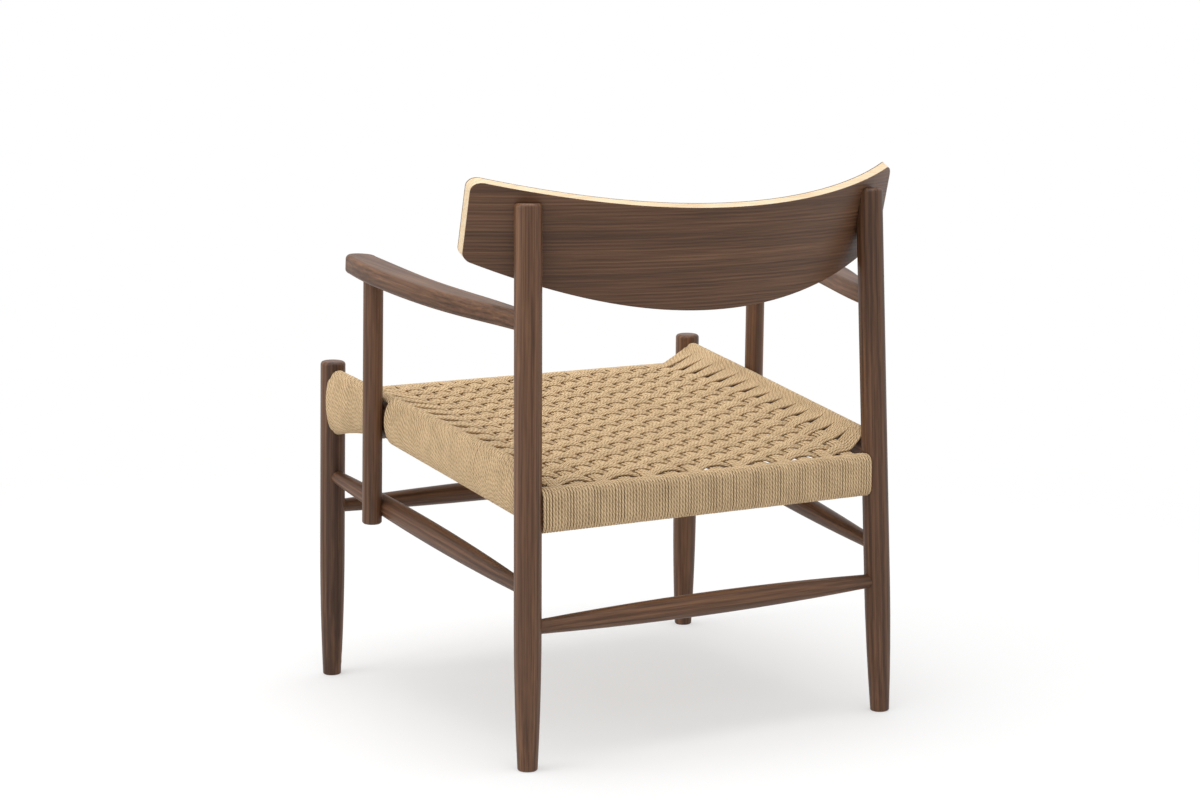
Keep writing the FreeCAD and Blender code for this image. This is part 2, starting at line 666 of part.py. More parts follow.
# ================================================================ seat weave and nails
def seat_span():
    """Depth coordinates of the weave's rear and front ends, just inside the wraps."""
    inset = CROSS_RAIL_THICK / 2 + CORD + CORD_CLEAR + SEAT_GAP
    rear = axis_point(rear_axis(LEFT), REAR_RAIL_Z).y - inset
    front = axis_point(front_axis(LEFT), FRONT_RAIL_Z).y + inset
    return rear, front


def seat_level(y):
    """Height of the weave's flat middle at depth y."""
    rear, front = seat_span()
    wrap = CROSS_RAIL_HEIGHT / 2 + CORD + CORD_CLEAR - SEAT_TOP_DROP
    share = (rear - y) / (rear - front)
    return REAR_RAIL_Z + wrap + (FRONT_RAIL_Z - REAR_RAIL_Z) * share


def seat_section(y):
    """Closed section of the weave: raised at the side rails, level in the middle."""
    edge_x = side_rail_x(y) - SIDE_RAIL_WIDTH / 2 - CORD - CORD_CLEAR - SEAT_GAP
    edge_z = side_rail_top(y) + CORD - SEAT_EDGE_DROP
    flat = seat_level(y)
    knee = edge_x - SEAT_FALL
    shoulder = edge_x - SEAT_FALL / 2
    half_way = flat + (edge_z - flat) * 0.28
    shape = [(-edge_x, edge_z), (-shoulder, half_way), (-knee, flat), (0, flat),
             (knee, flat), (shoulder, half_way), (edge_x, edge_z)]
    top = [V(x, y, z) for x, z in shape]
    bottom = [V(x, y, z - SEAT_LAYERS * CORD) for x, z in shape]
    return Part.Wire([
        smooth_curve(top),
        line(top[-1], bottom[-1]),
        smooth_curve(bottom[::-1]),
        line(bottom[0], top[0]),
    ])


def seat_weave():
    """The woven seat as one closed slab."""
    rear, front = seat_span()
    middle = (rear + front) / 2
    return Part.makeLoft([seat_section(rear), seat_section(middle), seat_section(front)], True, False)


def cord_nail(root, outwards, hook, grow=0.0):
    """L-shaped cord nail: driven at root, standing out along outwards, hook turned down."""
    inner = root - outwards * NAIL_BITE
    knee = root + outwards * (CORD + CORD_CLEAR + NAIL_PROUD)
    shank = rod(inner, knee, NAIL_RADIUS + grow)
    return shank.fuse(rod(knee - hook * NAIL_RADIUS * 2, knee + hook * NAIL_HOOK, HOOK_RADIUS + grow))


def cross_nail_roots(axis_of, z, inwards):
    """Nail places on the inner face of a cross rail, one for each warp."""
    centre = axis_point(axis_of(LEFT), z)
    first = -WARP_PITCH * (WARP_COUNT - 1) / 2
    y = centre.y + inwards * CROSS_RAIL_THICK / 2
    height = z + CROSS_RAIL_HEIGHT / 2 - NAIL_BELOW_TOP
    return [V(first + WARP_PITCH * index, y, height) for index in range(WARP_COUNT)]


def side_nail_roots(side):
    """Nail places on the inner face of a side rail, clear of the screw behind the arm support."""
    rear, front = side_rail_span()
    pitch = (front - rear) / SIDE_NAIL_COUNT
    roots = []
    for index in range(SIDE_NAIL_COUNT):
        y = rear + pitch * (index + 0.5)
        if abs(y - support_y_at_rail()) < SUPPORT_RADIUS + WRAP_TO_SUPPORT + NAIL_RADIUS:
            continue
        centre_z = (side_rail_top(y) + side_rail_bottom(y)) / 2
        roots.append(V(side * (side_rail_x(y) - SIDE_RAIL_WIDTH / 2), y, centre_z))
    return roots


def cord_nails(roots, outwards, grow=0.0):
    """All the nails of one rail."""
    return [cord_nail(root, outwards, V(0, 0, -1), grow) for root in roots]


# ================================================================ assembly
def build_back(pieces):
    """Back panel in three layers, its screws and its plugs."""
    prism = back_outline_prism()
    full = back_layer(prism, 0.0, BACK_THICK)
    layers = {
        "back_veneer_rear": back_layer(prism, 0.0, VENEER),
        "back_core": back_layer(prism, VENEER, BACK_THICK - VENEER),
        "back_veneer_front": back_layer(prism, BACK_THICK - VENEER, BACK_THICK),
    }
    places = screw_places()
    for name, layer in layers.items():
        for place in places:
            layer = layer.cut(back_screw(place, GLUE_GAP)).cut(plug_bore(place, GLUE_GAP))
        pieces[name] = one_solid(layer)
    pieces["back_screws"] = Part.makeCompound([back_screw(place) for place in places])
    plugs = [one_solid(plug_bore(place).common(full)) for place in places]
    pieces["back_screw_plugs"] = Part.makeCompound(plugs)
    return prism


def build_legs(pieces, prism):
    """Rear posts and front legs with every mortise, socket and bore."""
    notch = back_layer(prism, -GLUE_GAP, BACK_POST_NOTCH)
    sockets = []
    for name, start, end in stretcher_lines():
        sockets.append(stretcher_socket(start, end))
        sockets.append(stretcher_socket(end, start))
    for name, side in SIDES:
        post = turned_leg(rear_axis(side)).cut(notch)
        cuts = list(sockets)
        cuts.append(cross_tenon(axis_point(rear_axis(side), REAR_RAIL_Z), side, GLUE_GAP))
        cuts.append(side_tenon(side, 0, GLUE_GAP))
        start, end = arm_tenon_line(side)
        cuts.append(rod(start, end + (end - start).normalize() * GLUE_GAP, ARM_TENON_RADIUS + GLUE_GAP))
        cuts += [back_screw(place, GLUE_GAP) for place in screw_places()]
        for cutter in cuts:
            post = post.cut(cutter)
        pieces["rear_post_" + name] = one_solid(post)
        leg = turned_leg(front_axis(side))
        cuts = list(sockets)
        cuts.append(cross_tenon(axis_point(front_axis(side), FRONT_RAIL_Z), side, GLUE_GAP))
        cuts.append(side_tenon(side, 1, GLUE_GAP))
        for cutter in cuts:
            leg = leg.cut(cutter)
        pieces["front_leg_" + name] = one_solid(leg)


def build_cross_rails(pieces):
    """Front and rear rails with their cord wraps and nails."""
    rails = (("front", front_axis, FRONT_RAIL_Z, 1), ("rear", rear_axis, REAR_RAIL_Z, -1))
    for name, axis_of, z, inwards in rails:
        roots = cross_nail_roots(axis_of, z, inwards)
        outwards = V(0, inwards, 0)
        bores = Part.makeCompound(cord_nails(roots, outwards, GLUE_GAP))
        pieces[name + "_rail"] = one_solid(cross_rail(axis_of, z).cut(bores))
        pieces[name + "_rail_wrap"] = one_solid(cross_wrap(axis_of, z).cut(bores))
        pieces[name + "_rail_nails"] = Part.makeCompound(cord_nails(roots, outwards))


def build_side_rails(pieces):
    """Side rails with their cord wraps, nails and the screws of the arm supports."""
    screws = []
    for name, side in SIDES:
        roots = side_nail_roots(side)
        outwards = V(-side, 0, 0)
        bores = Part.makeCompound(cord_nails(roots, outwards, GLUE_GAP))
        rail = side_rail(side).cut(bores)
        lines = brace_screw_lines(side)
        pieces["side_rail_" + name] = one_solid(rail.cut(brace_screw_bore(*lines[0])))
        for part in ("front", "rear"):
            wrap = side_wrap(side, part).cut(bores)
            pieces["side_wrap_" + name + "_" + part] = one_solid(wrap)
        pieces["side_rail_nails_" + name] = Part.makeCompound(cord_nails(roots, outwards))
        screws += [brace_screw(*ends) for ends in lines]
    pieces["support_screws"] = Part.makeCompound(screws)


def build_arms(pieces):
    """Stretchers, arms and arm supports."""
    for name, start, end in stretcher_lines():
        pieces[name] = turned_stretcher(start, end)
    for name, side in SIDES:
        rail_screw, stretcher_screw = brace_screw_lines(side)
        stretcher = "side_stretcher_" + name
        pieces[stretcher] = one_solid(pieces[stretcher].cut(brace_screw_bore(*stretcher_screw)))
        pieces["arm_" + name] = arm(side)
        support = arm_support(side)
        for ends in (rail_screw, stretcher_screw):
            support = support.cut(brace_screw(*ends, GLUE_GAP))
        pieces["arm_support_" + name] = one_solid(support)


def main():
    """Build every piece, centre the chair on its origin and write the STEP files."""
    pieces = {}
    prism = build_back(pieces)
    build_legs(pieces, prism)
    build_cross_rails(pieces)
    build_side_rails(pieces)
    build_arms(pieces)
    pieces["seat_weave"] = seat_weave()
    box = FreeCAD.BoundBox()
    for shape in pieces.values():
        box.add(shape.optimalBoundingBox(False))
    to_origin = V(0, -(box.YMin + box.YMax) / 2, 0)
    os.makedirs("parts", exist_ok=True)
    for name, shape in sorted(pieces.items()):
        shape.translate(to_origin)
        shape.exportStep("parts/" + name + ".step")
        print(name, len(shape.Solids), round(shape.Volume), shape.isValid())
    print("moved back by", round(to_origin.y, 3), "box", box)


main()
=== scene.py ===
"""Looks of a low wooden armchair with a woven paper-cord seat.

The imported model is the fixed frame.  The walnut pieces keep their own meshes and get
a grain that runs along each of them; the cord round the rails and the woven seat are
replaced by real cords, one tube for each.  Everything is in metres.
"""
import logging
import math
from dataclasses import dataclass, field
from enum import Enum

import bpy
import numpy as np
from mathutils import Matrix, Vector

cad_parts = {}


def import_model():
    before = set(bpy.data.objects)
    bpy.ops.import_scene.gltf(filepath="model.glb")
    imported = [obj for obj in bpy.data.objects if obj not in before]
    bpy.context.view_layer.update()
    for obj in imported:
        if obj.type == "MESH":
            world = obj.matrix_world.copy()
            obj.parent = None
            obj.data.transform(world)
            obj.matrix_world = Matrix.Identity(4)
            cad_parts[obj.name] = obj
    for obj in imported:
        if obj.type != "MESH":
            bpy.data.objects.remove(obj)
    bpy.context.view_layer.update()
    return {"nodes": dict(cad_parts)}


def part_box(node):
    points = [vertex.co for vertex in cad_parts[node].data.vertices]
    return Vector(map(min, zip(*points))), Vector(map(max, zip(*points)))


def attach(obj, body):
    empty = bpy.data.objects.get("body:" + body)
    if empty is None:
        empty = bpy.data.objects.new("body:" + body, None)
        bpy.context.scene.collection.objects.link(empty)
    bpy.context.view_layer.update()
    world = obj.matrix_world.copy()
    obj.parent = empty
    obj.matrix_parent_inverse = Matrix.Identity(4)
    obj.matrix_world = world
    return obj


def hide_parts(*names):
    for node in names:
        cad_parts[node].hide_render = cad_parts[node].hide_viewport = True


LOG = logging.getLogger("armchair")
BODY = "root"
MM = 0.001
SEED = 11
CORNER_POINTS = 5                           # points of each quarter arc round a cross rail


# ------------------------------------------------------------------ small tools
def smooth_step(share: np.ndarray) -> np.ndarray:
    """Cubic ease from 0 to 1: three shares squared less two shares cubed."""
    held = np.clip(share, 0.0, 1.0)
    return held * held * (3.0 - 2.0 * held)


def resample(points: np.ndarray, step: float) -> np.ndarray:
    """Spread points evenly along a path.

    Args:
        points: the path's points, one row each.
        step: the wanted distance between neighbours, in metres.

    Returns:
        Points at equal lengths along straight runs between the given ones.
    """
    lengths = np.linalg.norm(np.diff(points, axis=0), axis=1)
    along = np.concatenate([[0.0], np.cumsum(lengths)])
    count = max(2, int(round(along[-1] / step)) + 1)
    wanted = np.linspace(0.0, along[-1], count)
    return np.stack([np.interp(wanted, along, points[:, axis]) for axis in range(3)], axis=1)


def relax(points: np.ndarray, rounds: int) -> np.ndarray:
    """Round off a path's corners, each point moving half way to its neighbours' middle.

    Args:
        points: the path's points, one row each.
        rounds: how often the points are moved.

    Returns:
        The smoothed path, with the same two ends.
    """
    smooth = points.copy()
    for _ in range(rounds):
        middle = (smooth[:-2] + smooth[2:]) / 2.0
        smooth[1:-1] = (smooth[1:-1] + middle) / 2.0
    return smooth


def new_object(name: str, verts: np.ndarray, faces: np.ndarray,
               uvs: np.ndarray | None = None) -> bpy.types.Object:
    """Make a smooth-shaded mesh object at the origin.

    Args:
        name: the piece's name.
        verts: one row of x, y, z for each vertex.
        faces: one row of vertex numbers for each face.
        uvs: one row of u, v for each face corner, in face order.

    Returns:
        The linked object.
    """
    mesh = bpy.data.meshes.new(name)
    size = faces.shape[1]
    mesh.vertices.add(len(verts))
    mesh.vertices.foreach_set("co", verts.astype(np.float32).ravel())
    mesh.loops.add(faces.size)
    mesh.loops.foreach_set("vertex_index", faces.astype(np.int32).ravel())
    mesh.polygons.add(len(faces))
    mesh.polygons.foreach_set("loop_start", np.arange(0, faces.size, size, dtype=np.int32))
    mesh.polygons.foreach_set("use_smooth", np.ones(len(faces), dtype=bool))
    mesh.update(calc_edges=True)
    if uvs is not None:
        layer = mesh.uv_layers.new(name="UVMap")
        layer.data.foreach_set("uv", uvs.astype(np.float32).ravel())
    mesh.validate()
    obj = bpy.data.objects.new(name, mesh)
    bpy.context.scene.collection.objects.link(obj)
    return obj


# ------------------------------------------------------------------ cord tubes
@dataclass
class CordBundle:
    """Many cords gathered into one mesh, each a round tube with closed ends."""

    radius: float
    sides: int = 6
    step: float = 4.0 * MM
    verts: list[np.ndarray] = field(default_factory=list)
    faces: list[np.ndarray] = field(default_factory=list)
    uvs: list[np.ndarray] = field(default_factory=list)
    count: int = 0

    def add(self, points: np.ndarray, phase: float = 0.0, smoothing: int = 0) -> None:
        """Carry a circle along a path and add the tube.

        Ring i is the path's point plus radius times (cosine of a times the normal plus
        sine of a times the binormal).  The normal is kept square to the path by taking
        its share along the path away at each ring.

        Args:
            points: the cord's centre line, one row each.
            phase: where this cord's twist starts, in metres along it.
            smoothing: how many times the path's corners are rounded off.
        """
        path = relax(resample(points, self.step), smoothing)
        tangents = np.gradient(path, axis=0)
        tangents /= np.linalg.norm(tangents, axis=1)[:, None]
        normals = self.square_normals(tangents)
        binormals = np.cross(tangents, normals)
        angles = np.arange(self.sides) * (2.0 * math.pi / self.sides)
        rings = (path[:, None, :]
                 + self.radius * np.cos(angles)[None, :, None] * normals[:, None, :]
                 + self.radius * np.sin(angles)[None, :, None] * binormals[:, None, :])
        rows = len(path)
        along = phase + np.concatenate([[0.0], np.cumsum(np.linalg.norm(np.diff(path, axis=0), axis=1))])
        row, side = np.meshgrid(np.arange(rows - 1), np.arange(self.sides), indexing="ij")
        row, side = row.ravel(), side.ravel()
        after = (side + 1) % self.sides
        quads = np.stack([row * self.sides + side, row * self.sides + after,
                          (row + 1) * self.sides + after, (row + 1) * self.sides + side], axis=1)
        turn = np.stack([side, side + 1, side + 1, side], axis=1) / self.sides
        length = np.stack([along[row], along[row], along[row + 1], along[row + 1]], axis=1)
        base = self.count
        cap_first = self.cap_quads(0, False)
        cap_last = self.cap_quads((rows - 1) * self.sides, True)
        quads = np.concatenate([quads, cap_first, cap_last])
        corner_uv = np.stack([turn, length], axis=2)
        cap_uv = np.zeros((len(cap_first) + len(cap_last), 4, 2))
        self.verts.append(rings.reshape(-1, 3))
        self.faces.append(quads + base)
        self.uvs.append(np.concatenate([corner_uv, cap_uv]).reshape(-1, 2))
        self.count += rows * self.sides

    def cap_quads(self, first: int, outward: bool) -> np.ndarray:
        """Close a ring of an even number of points with a fan of four-sided faces."""
        half = self.sides // 2 - 1
        index = np.arange(half)
        strip = np.stack([index, index + 1, self.sides - 2 - index, self.sides - 1 - index], axis=1)
        if not outward:
            strip = strip[:, ::-1]
        return strip + first

    @staticmethod
    def square_normals(tangents: np.ndarray) -> np.ndarray:
        """Normals square to the tangents that turn as little as they can along the path.

        Each is the one before with its share along the new tangent taken away; the rows
        depend on each other, so this is the one loop over a path.
        """
        normals = np.empty_like(tangents)
        start = np.cross(tangents[0], (0.31, 0.17, 0.93))
        normals[0] = start / np.linalg.norm(start)
        for i in range(1, len(tangents)):
            flat = normals[i - 1] - tangents[i] * (normals[i - 1] @ tangents[i])
            normals[i] = flat / np.linalg.norm(flat)
        return normals

    def build(self, name: str) -> bpy.types.Object:
        """Make the gathered cords one object."""
        return new_object(name, np.concatenate(self.verts), np.concatenate(self.faces), np.concatenate(self.uvs))


# ------------------------------------------------------------------ node materials
class Nodes:
    """A node material in the making, with short ways to add and join nodes."""

    def __init__(self, name: str) -> None:
        """Start a material that holds only a Principled shader and its output."""
        self.material = bpy.data.materials.new(name)
        self.material.use_nodes = True
        self.tree = self.material.node_tree
        self.tree.nodes.clear()
        self.output = self.add("ShaderNodeOutputMaterial")
        self.shader = self.add("ShaderNodeBsdfPrincipled")
        self.join(self.shader, "BSDF", self.output, "Surface")

    def add(self, kind: str, **settings: object) -> bpy.types.Node:
        """Add a node and set its properties."""
        node = self.tree.nodes.new(kind)
        for key, value in settings.items():
            setattr(node, key, value)
        return node

    def join(self, source: bpy.types.Node, out: str | int, target: bpy.types.Node,
             into: str | int) -> None:
        """Link an output socket to an input socket."""
        self.tree.links.new(source.outputs[out], target.inputs[into])

    def math(self, operation: str, first: object, second: object = None,
             third: object = None) -> bpy.types.Node:
        """Add a Math node whose inputs are numbers or (node, socket) pairs."""
        node = self.add("ShaderNodeMath", operation=operation)
        for index, value in enumerate((first, second, third)):
            self.feed(node, index, value)
        return node

    def feed(self, node: bpy.types.Node, socket: str | int, value: object) -> None:
        """Set a socket to a value, or link it when the value is a (node, socket) pair."""
        if value is None:
            return
        if isinstance(value, tuple) and isinstance(value[0], bpy.types.Node):
            self.join(value[0], value[1], node, socket)
        else:
            node.inputs[socket].default_value = value

    def ramp(self, source: tuple, stops: list[tuple[float, tuple]]) -> bpy.types.Node:
        """Add a colour ramp with the given stops, fed by a (node, socket) pair."""
        node = self.add("ShaderNodeValToRGB")
        elements = node.color_ramp.elements
        while len(elements) < len(stops):
            elements.new(0.5)
        for element, (place, colour) in zip(elements, stops):
            element.position = place
            element.color = (*colour, 1.0) if len(colour) == 3 else colour
        self.join(source[0], source[1], node, "Fac")
        return node

    def mix(self, blend: str, factor: object, first: object, second: object) -> bpy.types.Node:
        """Add a colour mix node with numbers, colours or (node, socket) pairs as its inputs."""
        node = self.add("ShaderNodeMix", data_type="RGBA", blend_type=blend)
        self.feed(node, 0, factor)
        self.feed(node, 6, first)
        self.feed(node, 7, second)
        return node

    def noise(self, vector: tuple, scale: float, detail: float, roughness: float = 0.55,
              distortion: float = 0.0) -> bpy.types.Node:
        """Add a noise texture on a (node, socket) vector."""
        node = self.add("ShaderNodeTexNoise")
        node.inputs["Scale"].default_value = scale
        node.inputs["Detail"].default_value = detail
        node.inputs["Roughness"].default_value = roughness
        node.inputs["Distortion"].default_value = distortion
        self.join(vector[0], vector[1], node, "Vector")
        return node

    def bump(self, height: tuple, distance: float, strength: float) -> bpy.types.Node:
        """Add a bump node fed by a (node, socket) height and join it to the shader."""
        node = self.add("ShaderNodeBump")
        node.inputs["Distance"].default_value = distance
        node.inputs["Strength"].default_value = strength
        self.join(height[0], height[1], node, "Height")
        self.join(node, "Normal", self.shader, "Normal")
        return node

    def set(self, **sockets: float) -> None:
        """Set shader sockets by name, with underscores for spaces."""
        for key, value in sockets.items():
            self.shader.inputs[key.replace("_", " ")].default_value = value


@dataclass(frozen=True)
class WalnutFinish:
    """Oiled walnut: long dark streaks, fine pores and a satin sheen.

    The grain runs along the line from start to end, worked out by turning Object
    coordinates so that their first axis lies on that line.
    """

    light: tuple[float, float, float] = (0.200, 0.098, 0.048)
    middle: tuple[float, float, float] = (0.128, 0.060, 0.030)
    dark: tuple[float, float, float] = (0.062, 0.029, 0.016)
    roughness: float = 0.46
    rings: float = 42.0
    ring_share: float = 0.16                # what the rings add to the tone
    streak_share: float = 0.92              # what the streaks add to it
    streak_scale: tuple[float, float, float] = (1.1, 48.0, 48.0)
    pore_scale: tuple[float, float, float] = (7.0, 420.0, 420.0)
    ring_scale: tuple[float, float, float] = (0.9, 1.0, 1.0)
    pore_depth: float = 0.25 * MM
    flat: bool = False                      # a veneer, whose pattern doesn't change with depth

    def material(self, name: str, start: np.ndarray, end: np.ndarray,
                 offset: float) -> bpy.types.Material:
        """Build the walnut for one piece.

        Args:
            name: the material's name.
            start: one end of the grain line.
            end: its other end.
            offset: shifts the pattern, so that no two pieces match.

        Returns:
            The finished material.
        """
        nodes = Nodes(name)
        place = self.turned_coordinates(nodes, start, end, offset)
        streaks = self.stretched(nodes, place, self.streak_scale)
        broad = nodes.noise((streaks, "Vector"), 1.0, 5.0, 0.66, 0.25)
        fine_place = self.stretched(nodes, place, self.pore_scale)
        fine = nodes.noise((fine_place, "Vector"), 1.0, 3.0, 0.65)
        ring_place = self.stretched(nodes, place, self.ring_scale)
        rings = nodes.add("ShaderNodeTexWave", wave_type="BANDS", bands_direction="Z", wave_profile="SIN")
        rings.inputs["Scale"].default_value = self.rings
        rings.inputs["Distortion"].default_value = 2.6
        rings.inputs["Detail"].default_value = 2.0
        rings.inputs["Detail Scale"].default_value = 0.35
        rings.inputs["Detail Roughness"].default_value = 0.6
        nodes.join(ring_place, "Vector", rings, "Vector")
        blend = nodes.math("MULTIPLY_ADD", (rings, "Fac"), self.ring_share, None)
        nodes.join(nodes.math("MULTIPLY", (broad, "Fac"), self.streak_share), 0, blend, 2)
        tone = nodes.ramp((blend, 0), [(0.34, self.dark), (0.54, self.middle), (0.74, self.light)])
        pore_tone = nodes.ramp((fine, "Fac"), [(0.36, (0.62, 0.58, 0.55)), (0.60, (1.08, 1.08, 1.08))])
        coloured = nodes.mix("MULTIPLY", 1.0, (tone, "Color"), (pore_tone, "Color"))
        nodes.join(coloured, 2, nodes.shader, "Base Color")
        shine = nodes.math("MULTIPLY_ADD", (broad, "Fac"), -0.14, self.roughness + 0.07)
        nodes.join(shine, 0, nodes.shader, "Roughness")
        nodes.bump((fine, "Fac"), self.pore_depth, 0.45)
        nodes.set(Specular_IOR_Level=0.30, Coat_Weight=0.04, Coat_Roughness=0.35)
        return nodes.material

    @staticmethod
    def turned_coordinates(nodes: Nodes, start: np.ndarray, end: np.ndarray,
                           offset: float) -> bpy.types.Node:
        """Object coordinates turned so that the first axis runs from start to end."""
        direction = (end - start) / np.linalg.norm(end - start)
        yaw = math.atan2(direction[1], direction[0])
        pitch = math.asin(direction[2])
        coordinates = nodes.add("ShaderNodeTexCoord")
        shift = nodes.add("ShaderNodeVectorMath", operation="SUBTRACT")
        nodes.join(coordinates, "Object", shift, 0)
        shift.inputs[1].default_value = tuple(start)
        about_z = nodes.add("ShaderNodeVectorRotate", rotation_type="Z_AXIS")
        about_z.inputs["Angle"].default_value = -yaw
        nodes.join(shift, 0, about_z, "Vector")
        about_y = nodes.add("ShaderNodeVectorRotate", rotation_type="Y_AXIS")
        about_y.inputs["Angle"].default_value = pitch
        nodes.join(about_z, 0, about_y, "Vector")
        moved = nodes.add("ShaderNodeVectorMath", operation="ADD")
        nodes.join(about_y, 0, moved, 0)
        moved.inputs[1].default_value = (offset, offset * 0.37, offset * 0.61)
        return moved

    def stretched(self, nodes: Nodes, place: bpy.types.Node, scale: tuple[float, float,
                  float]) -> bpy.types.Node:
        """The grain coordinates scaled axis by axis."""
        mapping = nodes.add("ShaderNodeMapping")
        mapping.inputs["Scale"].default_value = (scale[0], 0.0 if self.flat else scale[1], scale[2])
        nodes.join(place, 0, mapping, "Vector")
        return mapping


@dataclass(frozen=True)
class PlyEdgeFinish:
    """Pale sanded edge of the moulded panel's core, with faint ply lines."""

    pale: tuple[float, float, float] = (0.80, 0.64, 0.43)
    warm: tuple[float, float, float] = (0.68, 0.48, 0.28)
    line_scale: tuple[float, float, float] = (14.0, 420.0, 420.0)
    line_depth: float = 0.2 * MM

    def material(self, name: str) -> bpy.types.Material:
        """Build the edge: noise stretched along the panel over the pale wood."""
        nodes = Nodes(name)
        coordinates = nodes.add("ShaderNodeTexCoord")
        mapping = nodes.add("ShaderNodeMapping")
        mapping.inputs["Scale"].default_value = self.line_scale
        nodes.join(coordinates, "Object", mapping, "Vector")
        lines = nodes.noise((mapping, "Vector"), 1.0, 3.0, 0.6)
        tone = nodes.ramp((lines, "Fac"), [(0.32, self.warm), (0.55, self.pale)])
        nodes.join(tone, "Color", nodes.shader, "Base Color")
        nodes.bump((lines, "Fac"), self.line_depth, 0.3)
        nodes.set(Roughness=0.55, Specular_IOR_Level=0.35)
        return nodes.material


@dataclass(frozen=True)
class PaperCordFinish:
    """Twisted paper cord: three strands laid round each other, matt and slightly uneven, with painted shade in
    the grooves between the strands and in the pits between the cords.
    """

    light: tuple[float, float, float] = (0.72, 0.545, 0.340)
    # dark is painted shade: the colour in the grooves between the strands
    dark: tuple[float, float, float] = (0.44, 0.30, 0.165)
    strands: int = 3
    lay: float = 19.0 * MM
    painted_shade_reach: float = 9.0 * MM             # how far round a point the ambient occlusion looks, whose painted shade darkens the pits between cords
    # painted shade: the colour that the pits and gaps between cords are darkened towards
    painted_pit_shade: tuple[float, float, float] = (0.30, 0.24, 0.18)
    patch_scale: float = 46.0
    fibre_scale: float = 900.0
    strand_depth: float = 0.7 * MM

    def material(self, name: str) -> bpy.types.Material:
        """Build the cord from its own UV map: u goes round it and v along it in metres.

        The strand height is half of one plus the sine of two pi times strands times
        (u plus v over the lay).
        """
        nodes = Nodes(name)
        uv = nodes.add("ShaderNodeUVMap", uv_map="UVMap")
        parts = nodes.add("ShaderNodeSeparateXYZ")
        nodes.join(uv, "UV", parts, 0)
        turns = nodes.math("MULTIPLY_ADD", (parts, "Y"), 1.0 / self.lay, (parts, "X"))
        angle = nodes.math("MULTIPLY", (turns, 0), 2.0 * math.pi * self.strands)
        wave = nodes.math("MULTIPLY_ADD", (nodes.math("SINE", (angle, 0)), 0), 0.5, 0.5)
        coordinates = nodes.add("ShaderNodeTexCoord")
        patches = nodes.noise((coordinates, "Object"), self.patch_scale, 2.0, 0.6)
        fibres = nodes.noise((coordinates, "Object"), self.fibre_scale, 2.0, 0.7)
        # painted shade: the colour goes from dark in the grooves between the strands to light on their crowns,
        # as if the grooves lay in shade
        depth = nodes.ramp((wave, 0), [(0.0, self.dark), (0.45, self.light)])
        tint = nodes.ramp((patches, "Fac"), [(0.30, (0.90, 0.88, 0.85)), (0.70, (1.07, 1.06, 1.04))])
        coloured = nodes.mix("MULTIPLY", 1.0, (depth, "Color"), (tint, "Color"))
        fleck = nodes.ramp((fibres, "Fac"), [(0.35, (0.90, 0.89, 0.88)), (0.65, (1.05, 1.05, 1.05))])
        flecked = nodes.mix("MULTIPLY", 1.0, (coloured, 2), (fleck, "Color"))
        # painted shade: ambient occlusion darkens the cord's colour in the pits and gaps between cords, where
        # shade falls
        painted_shade_occlusion = nodes.add("ShaderNodeAmbientOcclusion", samples=8)
        painted_shade_occlusion.inputs["Distance"].default_value = self.painted_shade_reach
        painted_pit_darkening = nodes.ramp((painted_shade_occlusion, "AO"), [(0.12, self.painted_pit_shade), (0.55, (1.0, 1.0, 1.0))])
        final = nodes.mix("MULTIPLY", 1.0, (flecked, 2), (painted_pit_darkening, "Color"))
        nodes.join(final, 2, nodes.shader, "Base Color")
        height = nodes.math("MULTIPLY_ADD", (fibres, "Fac"), 0.12, (wave, 0))
        nodes.bump((height, 0), self.strand_depth, 0.8)
        nodes.set(Roughness=0.82, Specular_IOR_Level=0.22)
        return nodes.material


@dataclass(frozen=True)
class SteelFinish:
    """Drawn wire and screw steel, faintly brushed."""

    colour: tuple[float, float, float] = (0.42, 0.40, 0.38)
    brush_scale: float = 1500.0

    def material(self, name: str) -> bpy.types.Material:
        """Build the steel with a fine stretched noise in its roughness and colour."""
        nodes = Nodes(name)
        coordinates = nodes.add("ShaderNodeTexCoord")
        brush = nodes.noise((coordinates, "Object"), self.brush_scale, 2.0)
        dull = tuple(0.7 * value for value in self.colour)
        tone = nodes.ramp((brush, "Fac"), [(0.3, dull), (0.7, self.colour)])
        nodes.join(tone, "Color", nodes.shader, "Base Color")
        shine = nodes.math("MULTIPLY_ADD", (brush, "Fac"), 0.25, 0.25)
        nodes.join(shine, 0, nodes.shader, "Roughness")
        nodes.set(Metallic=1.0)
        return nodes.material


# ------------------------------------------------------------------ the seat's geometry
@dataclass
class SideRail:
    """The oval side rail: straight in plan, rising to the front, deeper at the front leg."""

    rear_y: float
    front_y: float
    rear_x: float = 0.2667
    front_x: float = 0.3021
    rear_top: float = 0.3926
    front_top: float = 0.4560
    rear_bottom: float = 0.3236
    front_bottom: float = 0.4006
    haunch_length: float = 0.140
    haunch_drop: float = 0.033
    haunch_power: float = 1.6
    post_radius: float = 0.018

    def share(self, y: np.ndarray) -> np.ndarray:
        """0 at the rear post and 1 at the front leg."""
        return (self.rear_y - y) / (self.rear_y - self.front_y)

    def centre_x(self, y: np.ndarray) -> np.ndarray:
        """Distance of the rail's middle from the middle of the chair."""
        return self.rear_x + (self.front_x - self.rear_x) * self.share(y)

    def top(self, y: np.ndarray) -> np.ndarray:
        """Top of the bare rail."""
        return self.rear_top + (self.front_top - self.rear_top) * self.share(y)

    def bottom(self, y: np.ndarray) -> np.ndarray:
        """Underside of the bare rail: a straight line less the haunch at the front leg."""
        straight = self.rear_bottom + (self.front_bottom - self.rear_bottom) * self.share(y)
        start = self.front_y + self.post_radius + self.haunch_length
        along = np.maximum(0.0, (start - y) / self.haunch_length)
        return straight - self.haunch_drop * along ** self.haunch_power


